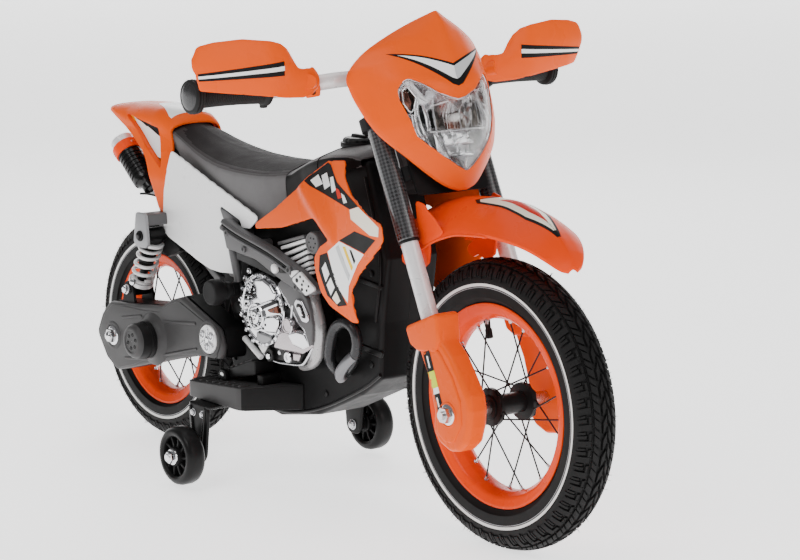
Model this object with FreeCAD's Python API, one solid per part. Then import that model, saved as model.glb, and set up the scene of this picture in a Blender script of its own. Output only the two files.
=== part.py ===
# Kids electric motorbike: off-road style ride-on with spoked air tyres, side
# stabiliser wheels, sprung swingarm and a geared hub drive in the right arm.
# Frame while modelling: x forward with 0 at the front axle, y to the rider's
# left, z up from the ground.  On export everything is shifted by OX so that
# the origin is the middle of the footprint on the ground.
import FreeCAD, Part
import math
import os

V = FreeCAD.Vector

# ---------------------------------------------------------------- dimensions
OX = 355.0            # shift that centres the machine on its footprint
RF = 177.0            # front tyre radius (14 inch class)
RR = 157.0            # rear tyre radius (12 1/2 inch class)
WB = 730.0            # wheelbase
TYRE_HW = 28.0        # half width of both tyres
RAKE = 0.465          # fork lean, dx per dz
FORK_HS = 72.0        # half spacing of the fork legs
LEG_R = 11.0          # fork tube radius
SLEEVE_R = 13.5       # fork sleeve radius
STEER_T = -34.0       # steering axis behind the leg plane
AXLE_R = 5.0          # wheel axles
RUN = 0.06            # running clearance on radius
BAR_R = 10.0          # handlebar tube radius
PIV = (-490.0, 190.0)     # swingarm pivot (x, z)
RAX = (-WB, RR)           # rear axle (x, z)
SHOCK_TOP = (-660.0, 306.0)
SHOCK_BOT = (-700.0, 226.0)
SHOCK_Y = 74.0
TW_X, TW_Y, TW_Z, TW_R = -473.0, 156.0, 44.5, 39.0   # stabiliser wheels
BODY_HW = 40.0        # half width of the centre body
MOD = 1.5             # gear module
N_WHEEL, N_IDLER, N_PINION = 36, 44, 14
MESH_GAP = 0.15       # extra centre distance in the gear train
MOTOR = (-627.7, 168.6)

PARTS = {}


# ------------------------------------------------------------------- helpers
def put(name, *shapes):
    solids = []
    for s in shapes:
        solids += s.Solids
    PARTS[name] = solids


def cyl(p, q, r):
    p, q = V(*p), V(*q)
    d = q.sub(p)
    return Part.makeCylinder(r, d.Length, p, d)


def cone(p, q, r0, r1):
    p, q = V(*p), V(*q)
    d = q.sub(p)
    return Part.makeCone(r0, r1, d.Length, p, d)


def cyl_y(x, z, y0, y1, r):
    return cyl((x, y0, z), (x, y1, z), r)


def round_wire(pts, r):
    """Closed wire through 3-D points lying in one plane, corners rounded by r."""
    n = len(pts)
    pts = [V(*p) for p in pts]
    radii = r if isinstance(r, (list, tuple)) else [r] * n
    ins, outs, mids = [], [], []
    for i in range(n):
        a, b, c = pts[i - 1], pts[i], pts[(i + 1) % n]
        u = a.sub(b)
        v = c.sub(b)
        lu, lv = u.Length, v.Length
        u.normalize()
        v.normalize()
        ang = math.acos(max(-1.0, min(1.0, u.dot(v))))
        rr = radii[i]
        if rr <= 0 or ang > math.pi - 1e-3:
            ins.append(b)
            outs.append(b)
            mids.append(None)
            continue
        t = rr / math.tan(ang / 2)
        t = min(t, 0.45 * lu, 0.45 * lv)
        re = t * math.tan(ang / 2)
        p0 = b + u * t
        p1 = b + v * t
        bis = u + v
        bis.normalize()
        cen = b + bis * (re / math.sin(ang / 2))
        m = cen - bis * re
        ins.append(p0)
        outs.append(p1)
        mids.append(m)
    edges = []
    for i in range(n):
        if mids[i] is not None:
            edges.append(Part.Arc(ins[i], mids[i], outs[i]).toShape())
        j = (i + 1) % n
        if outs[i].distanceToPoint(ins[j]) > 1e-6:
            edges.append(Part.LineSegment(outs[i], ins[j]).toShape())
    return Part.Wire(edges)


def ext_y(poly, y0, y1, r=0):
    """Prism of an outline (x, z) between two y planes, corners rounded by r."""
    w = round_wire([(x, y0, z) for x, z in poly], r)
    return Part.Face(w).extrude(V(0, y1 - y0, 0))


def soften(shape, r, pick=None):
    """Rounds the outline edges of a prism; keeps the sharp shape if that fails."""
    for k in (1.0, 0.6, 0.3):
        try:
            es = [e for e in shape.Edges if pick is None or pick(e)]
            out = shape.makeFillet(r * k, es)
            if out.isValid() and out.Volume > 0.5 * shape.Volume:
                return out
        except Exception:
            pass
    return shape


def on_y(y, tol=1e-3):
    return lambda e: all(abs(v.Point.y - y) < tol for v in e.Vertexes)


def rev_y(profile, cx, cz):
    """Ring from an outline (radius, y) turned about an axis along y at (cx, cz)."""
    w = Part.makePolygon([V(cx + r, y, cz) for r, y in profile + profile[:1]])
    return Part.Face(w).revolve(V(cx, 0, cz), V(0, 1, 0), 360)


def rev_axis(profile, p, d, side):
    """Ring from (radius, along) turned about the axis through p along d."""
    p, d, side = V(*p), V(*d), V(*side)
    d.normalize()
    side = side - d * side.dot(d)
    side.normalize()
    w = Part.makePolygon([p + side * r + d * a for r, a in profile + profile[:1]])
    return Part.Face(w).revolve(p, d, 360)


def facets(tris):
    """Closed solid from a list of triangles or quads of points."""
    faces = []
    for t in tris:
        ps = [V(*p) for p in t]
        if len(ps) == 4:
            quads = [(ps[0], ps[1], ps[2]), (ps[0], ps[2], ps[3])]
        else:
            quads = [tuple(ps)]
        for a, b, c in quads:
            if (b - a).cross(c - a).Length < 1e-6:
                continue
            faces.append(Part.Face(Part.makePolygon([a, b, c, a])))
    sh = Part.Shell(faces)
    so = Part.Solid(sh)
    if so.Volume < 0:
        so.reverse()
    return so


def sub(a, b):
    return (a[0] - b[0], a[1] - b[1], a[2] - b[2])


def cross(a, b):
    return (a[1] * b[2] - a[2] * b[1], a[2] * b[0] - a[0] * b[2], a[0] * b[1] - a[1] * b[0])


def grid_normals(g):
    n, m = len(g), len(g[0])
    out = []
    for i in range(n):
        row = []
        for j in range(m):
            a = sub(g[min(i + 1, n - 1)][j], g[max(i - 1, 0)][j])
            b = sub(g[i][min(j + 1, m - 1)], g[i][max(j - 1, 0)])
            c = cross(a, b)
            L = math.sqrt(c[0] ** 2 + c[1] ** 2 + c[2] ** 2) or 1.0
            row.append((c[0] / L, c[1] / L, c[2] / L))
        out.append(row)
    return out


def sheet(g, th):
    """Shell of a point grid, thickened by th against the grid's normal."""
    nn = grid_normals(g)
    n, m = len(g), len(g[0])
    h = [[tuple(g[i][j][k] - th * nn[i][j][k] for k in range(3)) for j in range(m)] for i in range(n)]
    q = []
    for i in range(n - 1):
        for j in range(m - 1):
            q.append((g[i][j], g[i + 1][j], g[i + 1][j + 1], g[i][j + 1]))
            q.append((h[i][j], h[i][j + 1], h[i + 1][j + 1], h[i + 1][j]))
    for j in range(m - 1):
        q.append((g[0][j], g[0][j + 1], h[0][j + 1], h[0][j]))
        q.append((g[n - 1][j], h[n - 1][j], h[n - 1][j + 1], g[n - 1][j + 1]))
    for i in range(n - 1):
        q.append((g[i][0], h[i][0], h[i + 1][0], g[i + 1][0]))
        q.append((g[i][m - 1], g[i + 1][m - 1], h[i + 1][m - 1], h[i][m - 1]))
    return facets(q)


def shell(g, th):
    """Shell of a point grid, thickened to the inside of its bulge."""
    return min((sheet(g, th), sheet(g, -th)), key=lambda s: s.BoundBox.DiagonalLength)


def rings(sections):
    """Closed solid through rings of points with flat ends."""
    q = []
    n = len(sections[0])
    for a, b in zip(sections, sections[1:]):
        for k in range(n):
            l = (k + 1) % n
            q.append((a[k], a[l], b[l], b[k]))
    for s, flip in ((sections[0], True), (sections[-1], False)):
        c = tuple(sum(p[k] for p in s) / n for k in range(3))
        for k in range(n):
            l = (k + 1) % n
            q.append((s[l], s[k], c) if flip else (s[k], s[l], c))
    return facets(q)


def mirror(s):
    return s.mirror(V(0, 0, 0), V(0, 1, 0))


def pipe(pts, r, bend):
    """Round bar along straight runs joined by tangent arcs."""
    P = [V(*p) for p in pts]
    edges, last = [], P[0]
    for i in range(1, len(P) - 1):
        u = P[i - 1] - P[i]
        v = P[i + 1] - P[i]
        lu, lv = u.Length, v.Length
        u.normalize()
        v.normalize()
        ang = math.acos(max(-1, min(1, u.dot(v))))
        b = bend[i - 1] if isinstance(bend, (list, tuple)) else bend
        t = min(b / math.tan(ang / 2), 0.45 * lu, 0.45 * lv)
        re = t * math.tan(ang / 2)
        a0, a1 = P[i] + u * t, P[i] + v * t
        bis = u + v
        bis.normalize()
        mid = P[i] + bis * (re / math.sin(ang / 2) - re)
        edges.append(Part.LineSegment(last, a0).toShape())
        edges.append(Part.Arc(a0, mid, a1).toShape())
        last = a1
    edges.append(Part.LineSegment(last, P[-1]).toShape())
    w = Part.Wire(edges)
    d = P[1] - P[0]
    prof = Part.Wire([Part.Circle(P[0], d, r).toShape()])
    mk = Part.BRepOffsetAPI.MakePipeShell(w)
    mk.add(prof)
    mk.build()
    mk.makeSolid()
    return mk.shape()


# ------------------------------------------------- fork frame (s up, t forward)
_k = math.hypot(1.0, RAKE)
UX, UZ = -RAKE / _k, 1.0 / _k
NX, NZ = UZ, -UX


def F(s, y, t):
    return (-58.0 + s * UX + t * NX, y, 281.0 + s * UZ + t * NZ)


def fork_prism(poly, y0, y1, r=0):
    """Prism of an outline (t, s) in the fork frame between two y planes."""
    w = round_wire([F(s, y0, t) for t, s in poly], r)
    return Part.Face(w).extrude(V(0, y1 - y0, 0))


def fork_cyl(y, t, s0, s1, r):
    return cyl(F(s0, y, t), F(s1, y, t), r)


def fork_plate(poly, s0, s1, r=0):
    """Prism of an outline (y, t) across the fork frame between two heights s."""
    w = round_wire([F(s0, y, t) for y, t in poly], r)
    return Part.Face(w).extrude(V(UX, 0, UZ) * (s1 - s0))


def fork_slab(poly, t0, t1, r=0):
    """Prism of an outline (y, s) in the fork frame from t0 to t1."""
    w = round_wire([F(s, y, t0) for y, s in poly], r)
    return Part.Face(w).extrude(V(NX, 0, NZ) * (t1 - t0))


def both(s):
    return [s, mirror(s)]


def hexnut(x, z, y0, y1, af, hole):
    r = af / math.sqrt(3)
    pts = [(x + r * math.cos(math.radians(60 * k)), z + r * math.sin(math.radians(60 * k))) for k in range(6)]
    return ext_y(pts, y0, y1).cut(cyl_y(x, z, y0 - 1, y1 + 1, hole))


def ring_y(x, z, y0, y1, ro, ri):
    return cyl_y(x, z, y0, y1, ro).cut(cyl_y(x, z, y0 - 1, y1 + 1, ri))


# --------------------------------------------------------------------- wheels
def tyre(cx, cz, R, bead):
    h = R - bead
    prof = [(bead + 0.5, -17), (bead + 7, -17.4), (bead + 0.23 * h + 1, -23.5), (bead + 0.45 * h, -28),
            (bead + 0.68 * h, -27.5), (bead + 0.84 * h, -23), (bead + 0.95 * h, -15), (R, -6)]
    prof += [(r, -y) for r, y in reversed(prof)]
    hole = [(bead + 0.5, 11), (bead + 7, 11.4), (bead + 0.23 * h + 1, 17), (bead + 0.45 * h, 21.5), (bead + 0.68 * h, 21),
            (bead + 0.82 * h, 16), (bead + 0.9 * h - 2, 10), (R - 8.5, 5)]
    prof += hole + [(r, -y) for r, y in reversed(hole)]
    return rev_y(prof, cx, cz)


def rim(cx, cz, bead):
    prof = [(bead + 6.5, -21), (bead + 6.5, -18.2), (bead, -17.8)]
    prof += [(r, -y) for r, y in reversed(prof)]
    prof += [(bead - 3.5, 19), (bead - 13.5, 7), (bead - 13.5, -7), (bead - 3.5, -19)]
    return rev_y(prof, cx, cz)


def spokes(cx, cz, r_hub, r_rim, n=10, wire=1.0):
    out = []
    for side in (-1, 1):
        for i in range(n):
            a = math.radians(360.0 / n * i + (180.0 / n if side > 0 else 0))
            off = math.radians(38 if i % 2 else -38)
            yh = side * (26.0 if i % 2 else 23.0)
            yr = side * (5.0 if i % 2 else 2.0)
            p = (cx + r_hub * math.cos(a + off), yh, cz + r_hub * math.sin(a + off))
            q = (cx + r_rim * math.cos(a), yr, cz + r_rim * math.sin(a))
            out.append(cyl(p, q, wire))
    return out


BEAD_F, BEAD_R = 117.5, 100.5
HUB = [(12, -30), (12, -27), (23, -27), (23, -22), (13, -20)]
hub_f = [(AXLE_R + RUN, -30)] + HUB + [(r, -y) for r, y in reversed(HUB)] + [(AXLE_R + RUN, 30)]
put("front_tyre", tyre(0, RF, RF, BEAD_F))
put("front_rim", rim(0, RF, BEAD_F))
put("front_hub", rev_y(hub_f, 0, RF))
put("front_spokes", *spokes(0, RF, 20.5, BEAD_F - 12.5))
hub_r = ([(AXLE_R + RUN, -85), (10, -85), (10, -76), (11.5, -75.5), (11.5, -27)] + HUB[2:]
         + [(r, -y) for r, y in reversed(HUB)] + [(AXLE_R + RUN, 30)])
put("rear_tyre", tyre(RAX[0], RAX[1], RR, BEAD_R))
put("rear_rim", rim(RAX[0], RAX[1], BEAD_R))
put("rear_hub", rev_y(hub_r, RAX[0], RAX[1]))
put("rear_spokes", *spokes(RAX[0], RAX[1], 20.5, BEAD_R - 12.5))


# ------------------------------------------------------------- steering group
CLAMP = [(-88, -15), (-88, 4), (-76, 15.5), (76, 15.5), (88, 4), (88, -15), (26, -54), (-26, -54)]
legs_out = [fork_cyl(y, 0, 90, 300, SLEEVE_R + 0.1) for y in (-FORK_HS, FORK_HS)]
SADDLE = [(-62, -15), (-62, 11), (-56, 15.5), (56, 15.5), (62, 11), (62, -15), (26, -54), (-26, -54)]
low = fork_plate(SADDLE, 168, 186, 4).cut(legs_out[0]).cut(legs_out[1])
low = low.fuse(fork_cyl(0, STEER_T, 180, 256, 12)).removeSplitter()
put("lower_clamp", low)
up = fork_plate(CLAMP, 240, 256, 12).cut(legs_out[0]).cut(legs_out[1])
up = up.cut(fork_cyl(0, STEER_T, 230, 260, 12.1))
riser = fork_prism([(-33, 255), (-3, 255), (-5, 328), (-32, 328)], -25, 25, 5)
bar_hole = cyl(F(313, -60, -18.7), F(313, 60, -18.7), BAR_R + 0.1)
up = up.fuse(riser.cut(fork_cyl(0, STEER_T, 230, 256.3, 12.1))).cut(bar_hole).removeSplitter()
put("upper_clamp", up)
put("fork_tubes", *[fork_cyl(y, 0, -40, 258, LEG_R) for y in (-FORK_HS, FORK_HS)])
put("fork_sleeves", *[fork_cyl(y, 0, 98, 259, SLEEVE_R).cut(fork_cyl(y, 0, 90, 270, LEG_R + 0.1))
                      for y in (-FORK_HS, FORK_HS)])

COVER = [(-82, 268), (-22, 295), (-18, 262), (14, 222), (38, 196), (35, 166), (26, 143), (0, 132),
         (-20, 139), (-33, 154), (-27, 183), (-43, 212), (-62, 248), (-81, 253)]
cov = ext_y(COVER, -90, -60, 5)
cov = soften(cov, 5, on_y(-90))
cov = soften(cov, 3, on_y(-60))
cov = cov.cut(fork_cyl(-FORK_HS, 0, -40.2, 80, LEG_R + 0.1)).cut(cyl_y(0, RF, -100, -50, AXLE_R + 0.1))
put("fork_covers", *both(cov))
ax = [cyl_y(0, RF, -104, 104, AXLE_R)]
for k in (-1, 1):
    a, b = sorted((k * 30.4, k * 59.8))
    ax.append(ring_y(0, RF, a, b, 8.5, AXLE_R + 0.1))
    a, b = sorted((k * 90.2, k * 92.2))
    ax.append(ring_y(0, RF, a, b, 12, AXLE_R + 0.1))
    a, b = sorted((k * 92.4, k * 100.4))
    ax.append(hexnut(0, RF, a, b, 17, AXLE_R + 0.1))
put("front_axle", *ax)

# front fender: ridge (x, z), half width, drop to the side edge
FENDER = [(-140, 399, 52, 40), (-118, 409, 55, 48), (-96, 415, 56.5, 52), (-56, 422, 57, 40), (-20, 424.5, 57, 33),
          (20, 422, 56, 28.5), (58, 411, 51, 21), (80, 399.5, 42.5, 16), (100, 381.5, 30, 10), (112, 365, 14, 6)]
FEN_Y = [-1.0, -0.86, -0.62, -0.3, 0.0, 0.3, 0.62, 0.86, 1.0]
FEN_D = [1.0, 0.62, 0.3, 0.1, 0.0, 0.1, 0.3, 0.62, 1.0]
g = [[(x, w * fy, z - d * fd) for fy, fd in zip(FEN_Y, FEN_D)] for x, z, w, d in FENDER]
fender = shell(g, 3.0)
boss = fork_plate([(-20, -16), (-20, 14), (20, 14), (20, -16)], 132, 167.8, 4)
put("front_fender", fender.fuse(boss))

# headlight mask: height s, half width, centre t, edge t
MASK = [(144, 9, 42, 40), (165, 40, 55, 37), (195, 68, 66, 34), (232, 92, 75, 22.4), (262, 100, 79, 15), (286, 103, 80.5, 13),
        (306, 103.5, 80.5, 14), (328, 85, 79.3, 31), (346, 46, 77.5, 54), (358, 9, 75, 73)]
MASK_Y = [-1.0, -0.9, -0.72, -0.5, -0.25, 0.0, 0.25, 0.5, 0.72, 0.9, 1.0]


def mask_grid(lift):
    return [[F(s, w * f, tc - (tc - te) * abs(f) ** 2.3 + lift) for f in MASK_Y] for s, w, tc, te in MASK]


LENS = [(0, 161.5), (30, 182), (52, 203), (64, 234), (70, 262), (62, 279.5), (40, 267), (0, 247),
        (-40, 267), (-62, 279.5), (-70, 262), (-64, 234), (-52, 203), (-30, 182)]


def lens_out(off):
    cy, cs = 0.0, 226.0
    out = []
    for y, s in LENS:
        L = math.hypot(y - cy, s - cs)
        out.append((y + (y - cy) / L * off, s + (s - cs) / L * off))
    return out


mask = shell(mask_grid(0), 3.2)
mask = mask.cut(fork_slab(lens_out(0), -20, 120, 3))
put("headlight_mask", mask)
lens = shell(mask_grid(-0.4), 3.0).common(fork_slab(lens_out(-1.0), -20, 120, 3))
put("headlight_lens", lens)
cup = fork_slab(lens_out(-3.0), 20.3, 36, 3).cut(fork_slab(lens_out(-7.0), 23.5, 60, 3))
cup = cup.cut(cyl(F(216, 0, 10), F(216, 0, 60), 8.2))
put("headlight_reflector", cup)
bulb = cyl(F(216, 0, 20.3), F(216, 0, 34), 8.0)
put("headlight_bulb", bulb.fuse(Part.makeSphere(7.9, V(*F(216, 0, 34)))).removeSplitter())
shield = fork_slab([(-55, 147), (55, 147), (57, 255), (44, 318), (-44, 318), (-57, 255)], 16.4, 20.0, 8)
for y, s, t1 in ((-28, 312, 62), (28, 312, 62), (0, 153, 40)):
    shield = shield.fuse(cyl(F(s, y, 18), F(s, y, t1), 5))
put("fork_shield", shield.removeSplitter())

BAR_C = F(313, 0, -18.7)
GX, GZ = -252.0, 543.0
bar_pts = [(GX, -292, GZ), (GX, -166, GZ), (-213, -96, 555), (BAR_C[0], -42, BAR_C[2])]
bar_pts = bar_pts + [(x, -y, z) for x, y, z in reversed(bar_pts)]
put("handlebar", pipe(bar_pts, BAR_R, [45, 60, 60, 60, 60, 45]))
GRIP = [(BAR_R + 0.1, -172), (17.5, -172), (17.5, -178), (14, -180), (13.2, -230), (14, -284), (20, -286), (21, -289),
        (21, -294), (18, -297), (0, -297), (0, -292.4), (BAR_R + 0.1, -292.4)]
gr = rev_y(GRIP, GX, GZ)
put("grips", *both(gr))

# hand guard: y station, lower z, upper z, x of the plate middle
GUARD = [(-126, 547, 566, -203), (-134, 541, 574, -202), (-150, 538, 576, -200), (-166, 537, 585, -198),
         (-180, 538, 601, -196.5), (-196, 541, 608, -196), (-205, 542, 596, -197), (-216, 543, 606, -197.5),
         (-241, 546, 612, -199), (-276, 550, 611, -203), (-300, 560, 606, -210), (-309, 576, 594, -215)]
g = []
for y, z0, z1, x in GUARD:
    row = []
    for k in range(5):
        f = k / 4.0
        row.append((x + 3.0 * (1 - (2 * f - 1) ** 2), y, z0 + (z1 - z0) * f))
    g.append(row)
plate = sheet(g, 4.0)
d = V(-39, -70, -12)
d.normalize()
c = V(-213, -96, 555) + d * 30
ringc = Part.makeCylinder(16, 16, c - d * 8, d)
neck = Part.makeCylinder(9, 37.3, c, V(-196.5, -142, 556) - c)
guard = plate.fuse(neck).fuse(ringc).cut(Part.makeCylinder(BAR_R + 0.15, 70, c - d * 22, d))
guard = max(guard.Solids, key=lambda s: s.Volume)
put("hand_guards", *both(guard))


# ----------------------------------------------------------------- main frame
BODY = [(-224, 450), (-180, 332), (-192, 250), (-196, 178), (-238, 150), (-330, 108), (-415, 92), (-505, 104),
        (-528, 150), (-540, 205), (-556, 268), (-600, 322), (-642, 347), (-700, 353), (-742, 400), (-742, 430),
        (-650, 424), (-596, 412), (-540, 400), (-480, 392), (-420, 394), (-372, 404), (-330, 428), (-270, 446)]


def inset(poly, k):
    """Outline moved inwards by k."""
    n = len(poly)
    area = sum(poly[i - 1][0] * poly[i][1] - poly[i][0] * poly[i - 1][1] for i in range(n))
    sg = 1.0 if area > 0 else -1.0
    out = []
    for i in range(n):
        a, b, c = poly[i - 1], poly[i], poly[(i + 1) % n]
        d1 = (b[0] - a[0], b[1] - a[1])
        d2 = (c[0] - b[0], c[1] - b[1])
        l1, l2 = math.hypot(*d1), math.hypot(*d2)
        n1 = (-d1[1] / l1 * sg, d1[0] / l1 * sg)
        n2 = (-d2[1] / l2 * sg, d2[0] / l2 * sg)
        bx, bz = n1[0] + n2[0], n1[1] + n2[1]
        q = bx * n1[0] + bz * n1[1]
        out.append((b[0] + bx / q * k, b[1] + bz / q * k))
    return out


neck_slot = ext_y([(-160, 520), (-160, 415), (-250, 405), (-250, 465), (-225, 520)], -15, 15)
half = ext_y(BODY, -BODY_HW, -0.1, 6)
half = soften(half, 6, on_y(-BODY_HW))
half = half.cut(ext_y(inset(BODY, 3.0), -BODY_HW + 3, 5, 4)).cut(neck_slot)
half = half.cut(cyl_y(PIV[0], PIV[1], -60, 0, 8.4))
half = half.cut(cyl_y(-656, 372, -60, 0, 7.6))
for bx, bz in ((-225, 200), (-400, 128), (-530, 310), (-640, 408), (-300, 330)):
    half = half.fuse(cyl_y(bx, bz, -BODY_HW + 1, -0.1, 5))
half = half.removeSplitter()
PEG = (-467.0, 257.0)
peg = cyl_y(PEG[0], PEG[1], -112, -BODY_HW + 1, 9)
peg = peg.fuse(soften(cyl_y(PEG[0], PEG[1], -114, -97, 16.5), 2.5))
# the seat base behind the joint line is a pair of mouldings of its own
JOINT_X = -566.0
base = half.cut(Part.makeBox(600, 200, 600, V(JOINT_X - 0.15, -100, 0)))
base = max(base.Solids, key=lambda s: s.Volume)
half = half.cut(Part.makeBox(600, 200, 600, V(JOINT_X + 0.15 - 600, -100, 0)))
half = max(half.Solids, key=lambda s: s.Volume)
put("seat_base", *both(base))
right_shell = half.fuse(peg).removeSplitter()
left_shell = mirror(half.fuse(peg).removeSplitter())

# rocker switch in the left side of the body: slot, bearing lugs, socket bore
SW = (-345.0, 160.0)
left_shell = left_shell.cut(Part.makeBox(24.6, 12, 15.6, V(SW[0] - 12.3, 33, SW[1] - 7.8)))
for k in (-1, 1):
    lug = Part.makeBox(4, 11, 10, V(SW[0] + k * 14.6 - 2, 28, SW[1] - 5))
    left_shell = left_shell.fuse(lug)
left_shell = left_shell.cut(cyl((SW[0] - 20, 33, SW[1]), (SW[0] + 20, 33, SW[1]), 1.56)).removeSplitter()
CHG = (-262.0, 168.0)
left_shell = left_shell.cut(cyl_y(CHG[0], CHG[1], 30, 45, 7.1)).removeSplitter()
put("body_shell_right", right_shell)
put("body_shell_left", left_shell)
# charging socket: a turned barrel with a flange outside the left shell
sock = cyl_y(CHG[0], CHG[1], 26, 42, 7.0).fuse(soften(cyl_y(CHG[0], CHG[1], BODY_HW + 0.1, 42, 10), 0.5))
put("charging_socket", sock.cut(cyl_y(CHG[0], CHG[1], 28, 50, 2.75)).removeSplitter())
wedge = Part.Face(Part.makePolygon([V(SW[0] - 12, 38, SW[1] - 7.0), V(SW[0] - 12, 44, SW[1] - 5.6), V(SW[0] - 12, 40.6, SW[1]),
                                    V(SW[0] - 12, 42.4, SW[1] + 5.8), V(SW[0] - 12, 38, SW[1] + 7.0),
                                    V(SW[0] - 12, 38, SW[1] - 7.0)])).extrude(V(24, 0, 0))
core = Part.makeBox(24, 8, 9, V(SW[0] - 12, 30, SW[1] - 4.5))
put("power_switch", core.fuse(wedge).fuse(cyl((SW[0] - 16, 33, SW[1]), (SW[0] + 16, 33, SW[1]), 1.5)).removeSplitter())

head = fork_cyl(0, STEER_T, 187.5, 238.5, 17).cut(fork_cyl(0, STEER_T, 180, 250, 12.06))
spine = ext_y([(-196, 476), (-178, 440), (-215, 410), (-300, 372), (-420, 352), (-480, 350), (-600, 372), (-690, 372),
               (-690, 390), (-600, 394), (-480, 376), (-420, 378), (-330, 404), (-262, 432)], -11, 11, 6)
spine = spine.cut(fork_cyl(0, STEER_T, 150, 300, 14))
down = ext_y([(-452, 372), (-490, 372), (-512, 190), (-490, 168), (-468, 182)], -11, 11, 6)
tube = cyl_y(PIV[0], PIV[1], -36, 36, 16)
frame = head.fuse(spine).fuse(down).fuse(tube).fuse(cyl_y(-656, 372, -56, 56, 7))
for k in (-1, 1):
    a, b = sorted((k * 50, k * 56))
    frame = frame.fuse(ext_y([(-676, 296), (-645, 296), (-642, 380), (-670, 380)], a, b, 6))
    a, b = sorted((k * 52, k * 96))
    frame = frame.fuse(cyl_y(SHOCK_TOP[0], SHOCK_TOP[1], a, b, 5))
    a, b = sorted((k * 91.8, k * 95))
    frame = frame.fuse(ext_y([(-676, 294), (-644, 294), (-650, 334), (-670, 334)], a, b, 6))
    a, b = sorted((k * 52, k * 95))
    frame = frame.fuse(ext_y([(-672, 322), (-648, 322), (-650, 334), (-670, 334)], a, b, 2))
frame = frame.cut(cyl_y(PIV[0], PIV[1], -60, 60, 8.1)).removeSplitter()
put("main_frame", frame)
shaft = cyl_y(PIV[0], PIV[1], -97.6, 97.6, 8)
for k in (-1, 1):
    a, b = sorted((k * 97.6, k * 102))
    cap = soften(cyl_y(PIV[0], PIV[1], a, b, 19), 1.2)
    shaft = shaft.fuse(cap)
    a, b = sorted((k * 40.5, k * 57.6))
    shaft = shaft.fuse(cyl_y(PIV[0], PIV[1], a, b, 13))
put("pivot_shaft", shaft.removeSplitter())

# -------------------------------------------------- engine dress-up and pipes
ENGINE = [(-440, 286), (-451, 245), (-403, 193), (-363, 180), (-319, 200), (-288, 244), (-297, 267)]
eng = soften(ext_y(ENGINE, -76, -BODY_HW - 0.2, 10), 5, on_y(-76))
for ex, ez, er in ((-392, 236, 28), (-336, 236, 24)):
    eng = eng.fuse(soften(cyl_y(ex, ez, -81, -70, er), 2.5, on_y(-81)))
    eng = eng.cut(ring_y(ex, ez, -82, -79, er - 5, er - 9))
    eng = eng.fuse(cyl_y(ex, ez, -84, -75, 8))
fd = V(17, 0, 41)
fd.normalize()
f0 = V(-338, -56, 266)
fp = V(fd.z, 0, -fd.x)
cylh = Part.makeCylinder(13.5, 96, f0, fd)
for k in range(6):
    c0 = f0 + fd * (50 + 8 * k)
    pl = Part.Face(Part.makePolygon([c0 + fp * -26 + V(0, -17, 0), c0 + fp * 26 + V(0, -17, 0), c0 + fp * 26 + V(0, 15.5, 0),
                                     c0 + fp * -26 + V(0, 15.5, 0), c0 + fp * -26 + V(0, -17, 0)])).extrude(fd * 4)
    cylh = cylh.fuse(pl)
cylh = cylh.fuse(cyl_y(-292, 345, -80, -48, 12.5)).fuse(cyl((-292, -62, 345), (-314, -60, 338), 8))
eng = eng.fuse(cylh).removeSplitter()
eng = eng.cut(Part.makeBox(400, 50, 400, V(-600, -BODY_HW - 0.2, 100)))
put("engine_covers", *both(max(eng.Solids, key=lambda s: s.Volume)))
RAIL = [(-482, 349), (-470, 351), (-310, 291), (-292, 283), (-300, 273), (-322, 275.5), (-466, 311)]
rail = soften(ext_y(RAIL, -86, -72, 5), 3, on_y(-86))
rail = rail.fuse(cyl_y(-472, 332, -73, -BODY_HW - 0.2, 7)).fuse(cyl_y(-430, 318, -73, -BODY_HW - 0.2, 7))
put("frame_rails", *both(rail.removeSplitter()))
p1 = pipe([(-268, -BODY_HW - 0.6, 316), (-268, -66, 316), (-270, -66, 212), (-294, -64, 178), (-294, -BODY_HW - 0.6, 178)],
          8, [14, 20, 18, 14])
p2 = pipe([(-230, -BODY_HW - 0.6, 262), (-230, -62, 262), (-244, -62, 190), (-214, -62, 214), (-214, -BODY_HW - 0.6, 214)],
          8, [14, 18, 14, 12])
put("exhaust_pipe", *(both(p1) + both(p2)))
MUF = [(0, 0), (10, 0), (10, 8), (13, 12), (17, 14), (17.5, 20), (16.2, 23), (17.5, 26), (16.2, 29), (17.5, 32), (16.2, 35), (17.5, 38), (17.5, 60),
       (19.5, 62), (19.5, 74), (17, 76), (16.5, 84), (14.5, 84), (13.5, 70), (0, 70)]
sil = rev_axis(MUF, (-716, -40, 356), (-68, -4, 62), (0, 1, 0))
sil = sil.fuse(cyl((-716, -40, 356), (-700, -34, 374), 6))
put("silencer", max(sil.cut(ext_y(inset(BODY, -0.3), -BODY_HW - 0.3, BODY_HW)).Solids, key=lambda s: s.Volume))

# ---------------------------------------------------------------- seat, tank
BODY_ENV = ext_y(inset(BODY, -0.5), -BODY_HW - 0.4, BODY_HW + 0.4)
SEAT = [(-659, 37, 450, 427), (-620, 44, 447.5, 419), (-590, 50.5, 444, 410), (-560, 56.5, 438, 401.5), (-520, 62, 432.5, 390.5), (-470, 65.5, 429, 377),
        (-425, 66, 429, 364.5), (-398, 62, 430, 367), (-373, 56, 433, 384)]
SEAT_Y = [0.97, 1.0, 0.97, 0.86, 0.62, 0.35, 0.0]
SEAT_D = [None, 24, 18, 13.5, 8.5, 3, 0]


def saddle(x, hw, zt, ze):
    ring = []
    for f, dd in zip(SEAT_Y, SEAT_D):
        ring.append((x, -hw * f, ze if dd is None else max(ze + 3, zt - dd)))
    return ring + [(px, -py, pz) for px, py, pz in reversed(ring[:-1])]


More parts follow.
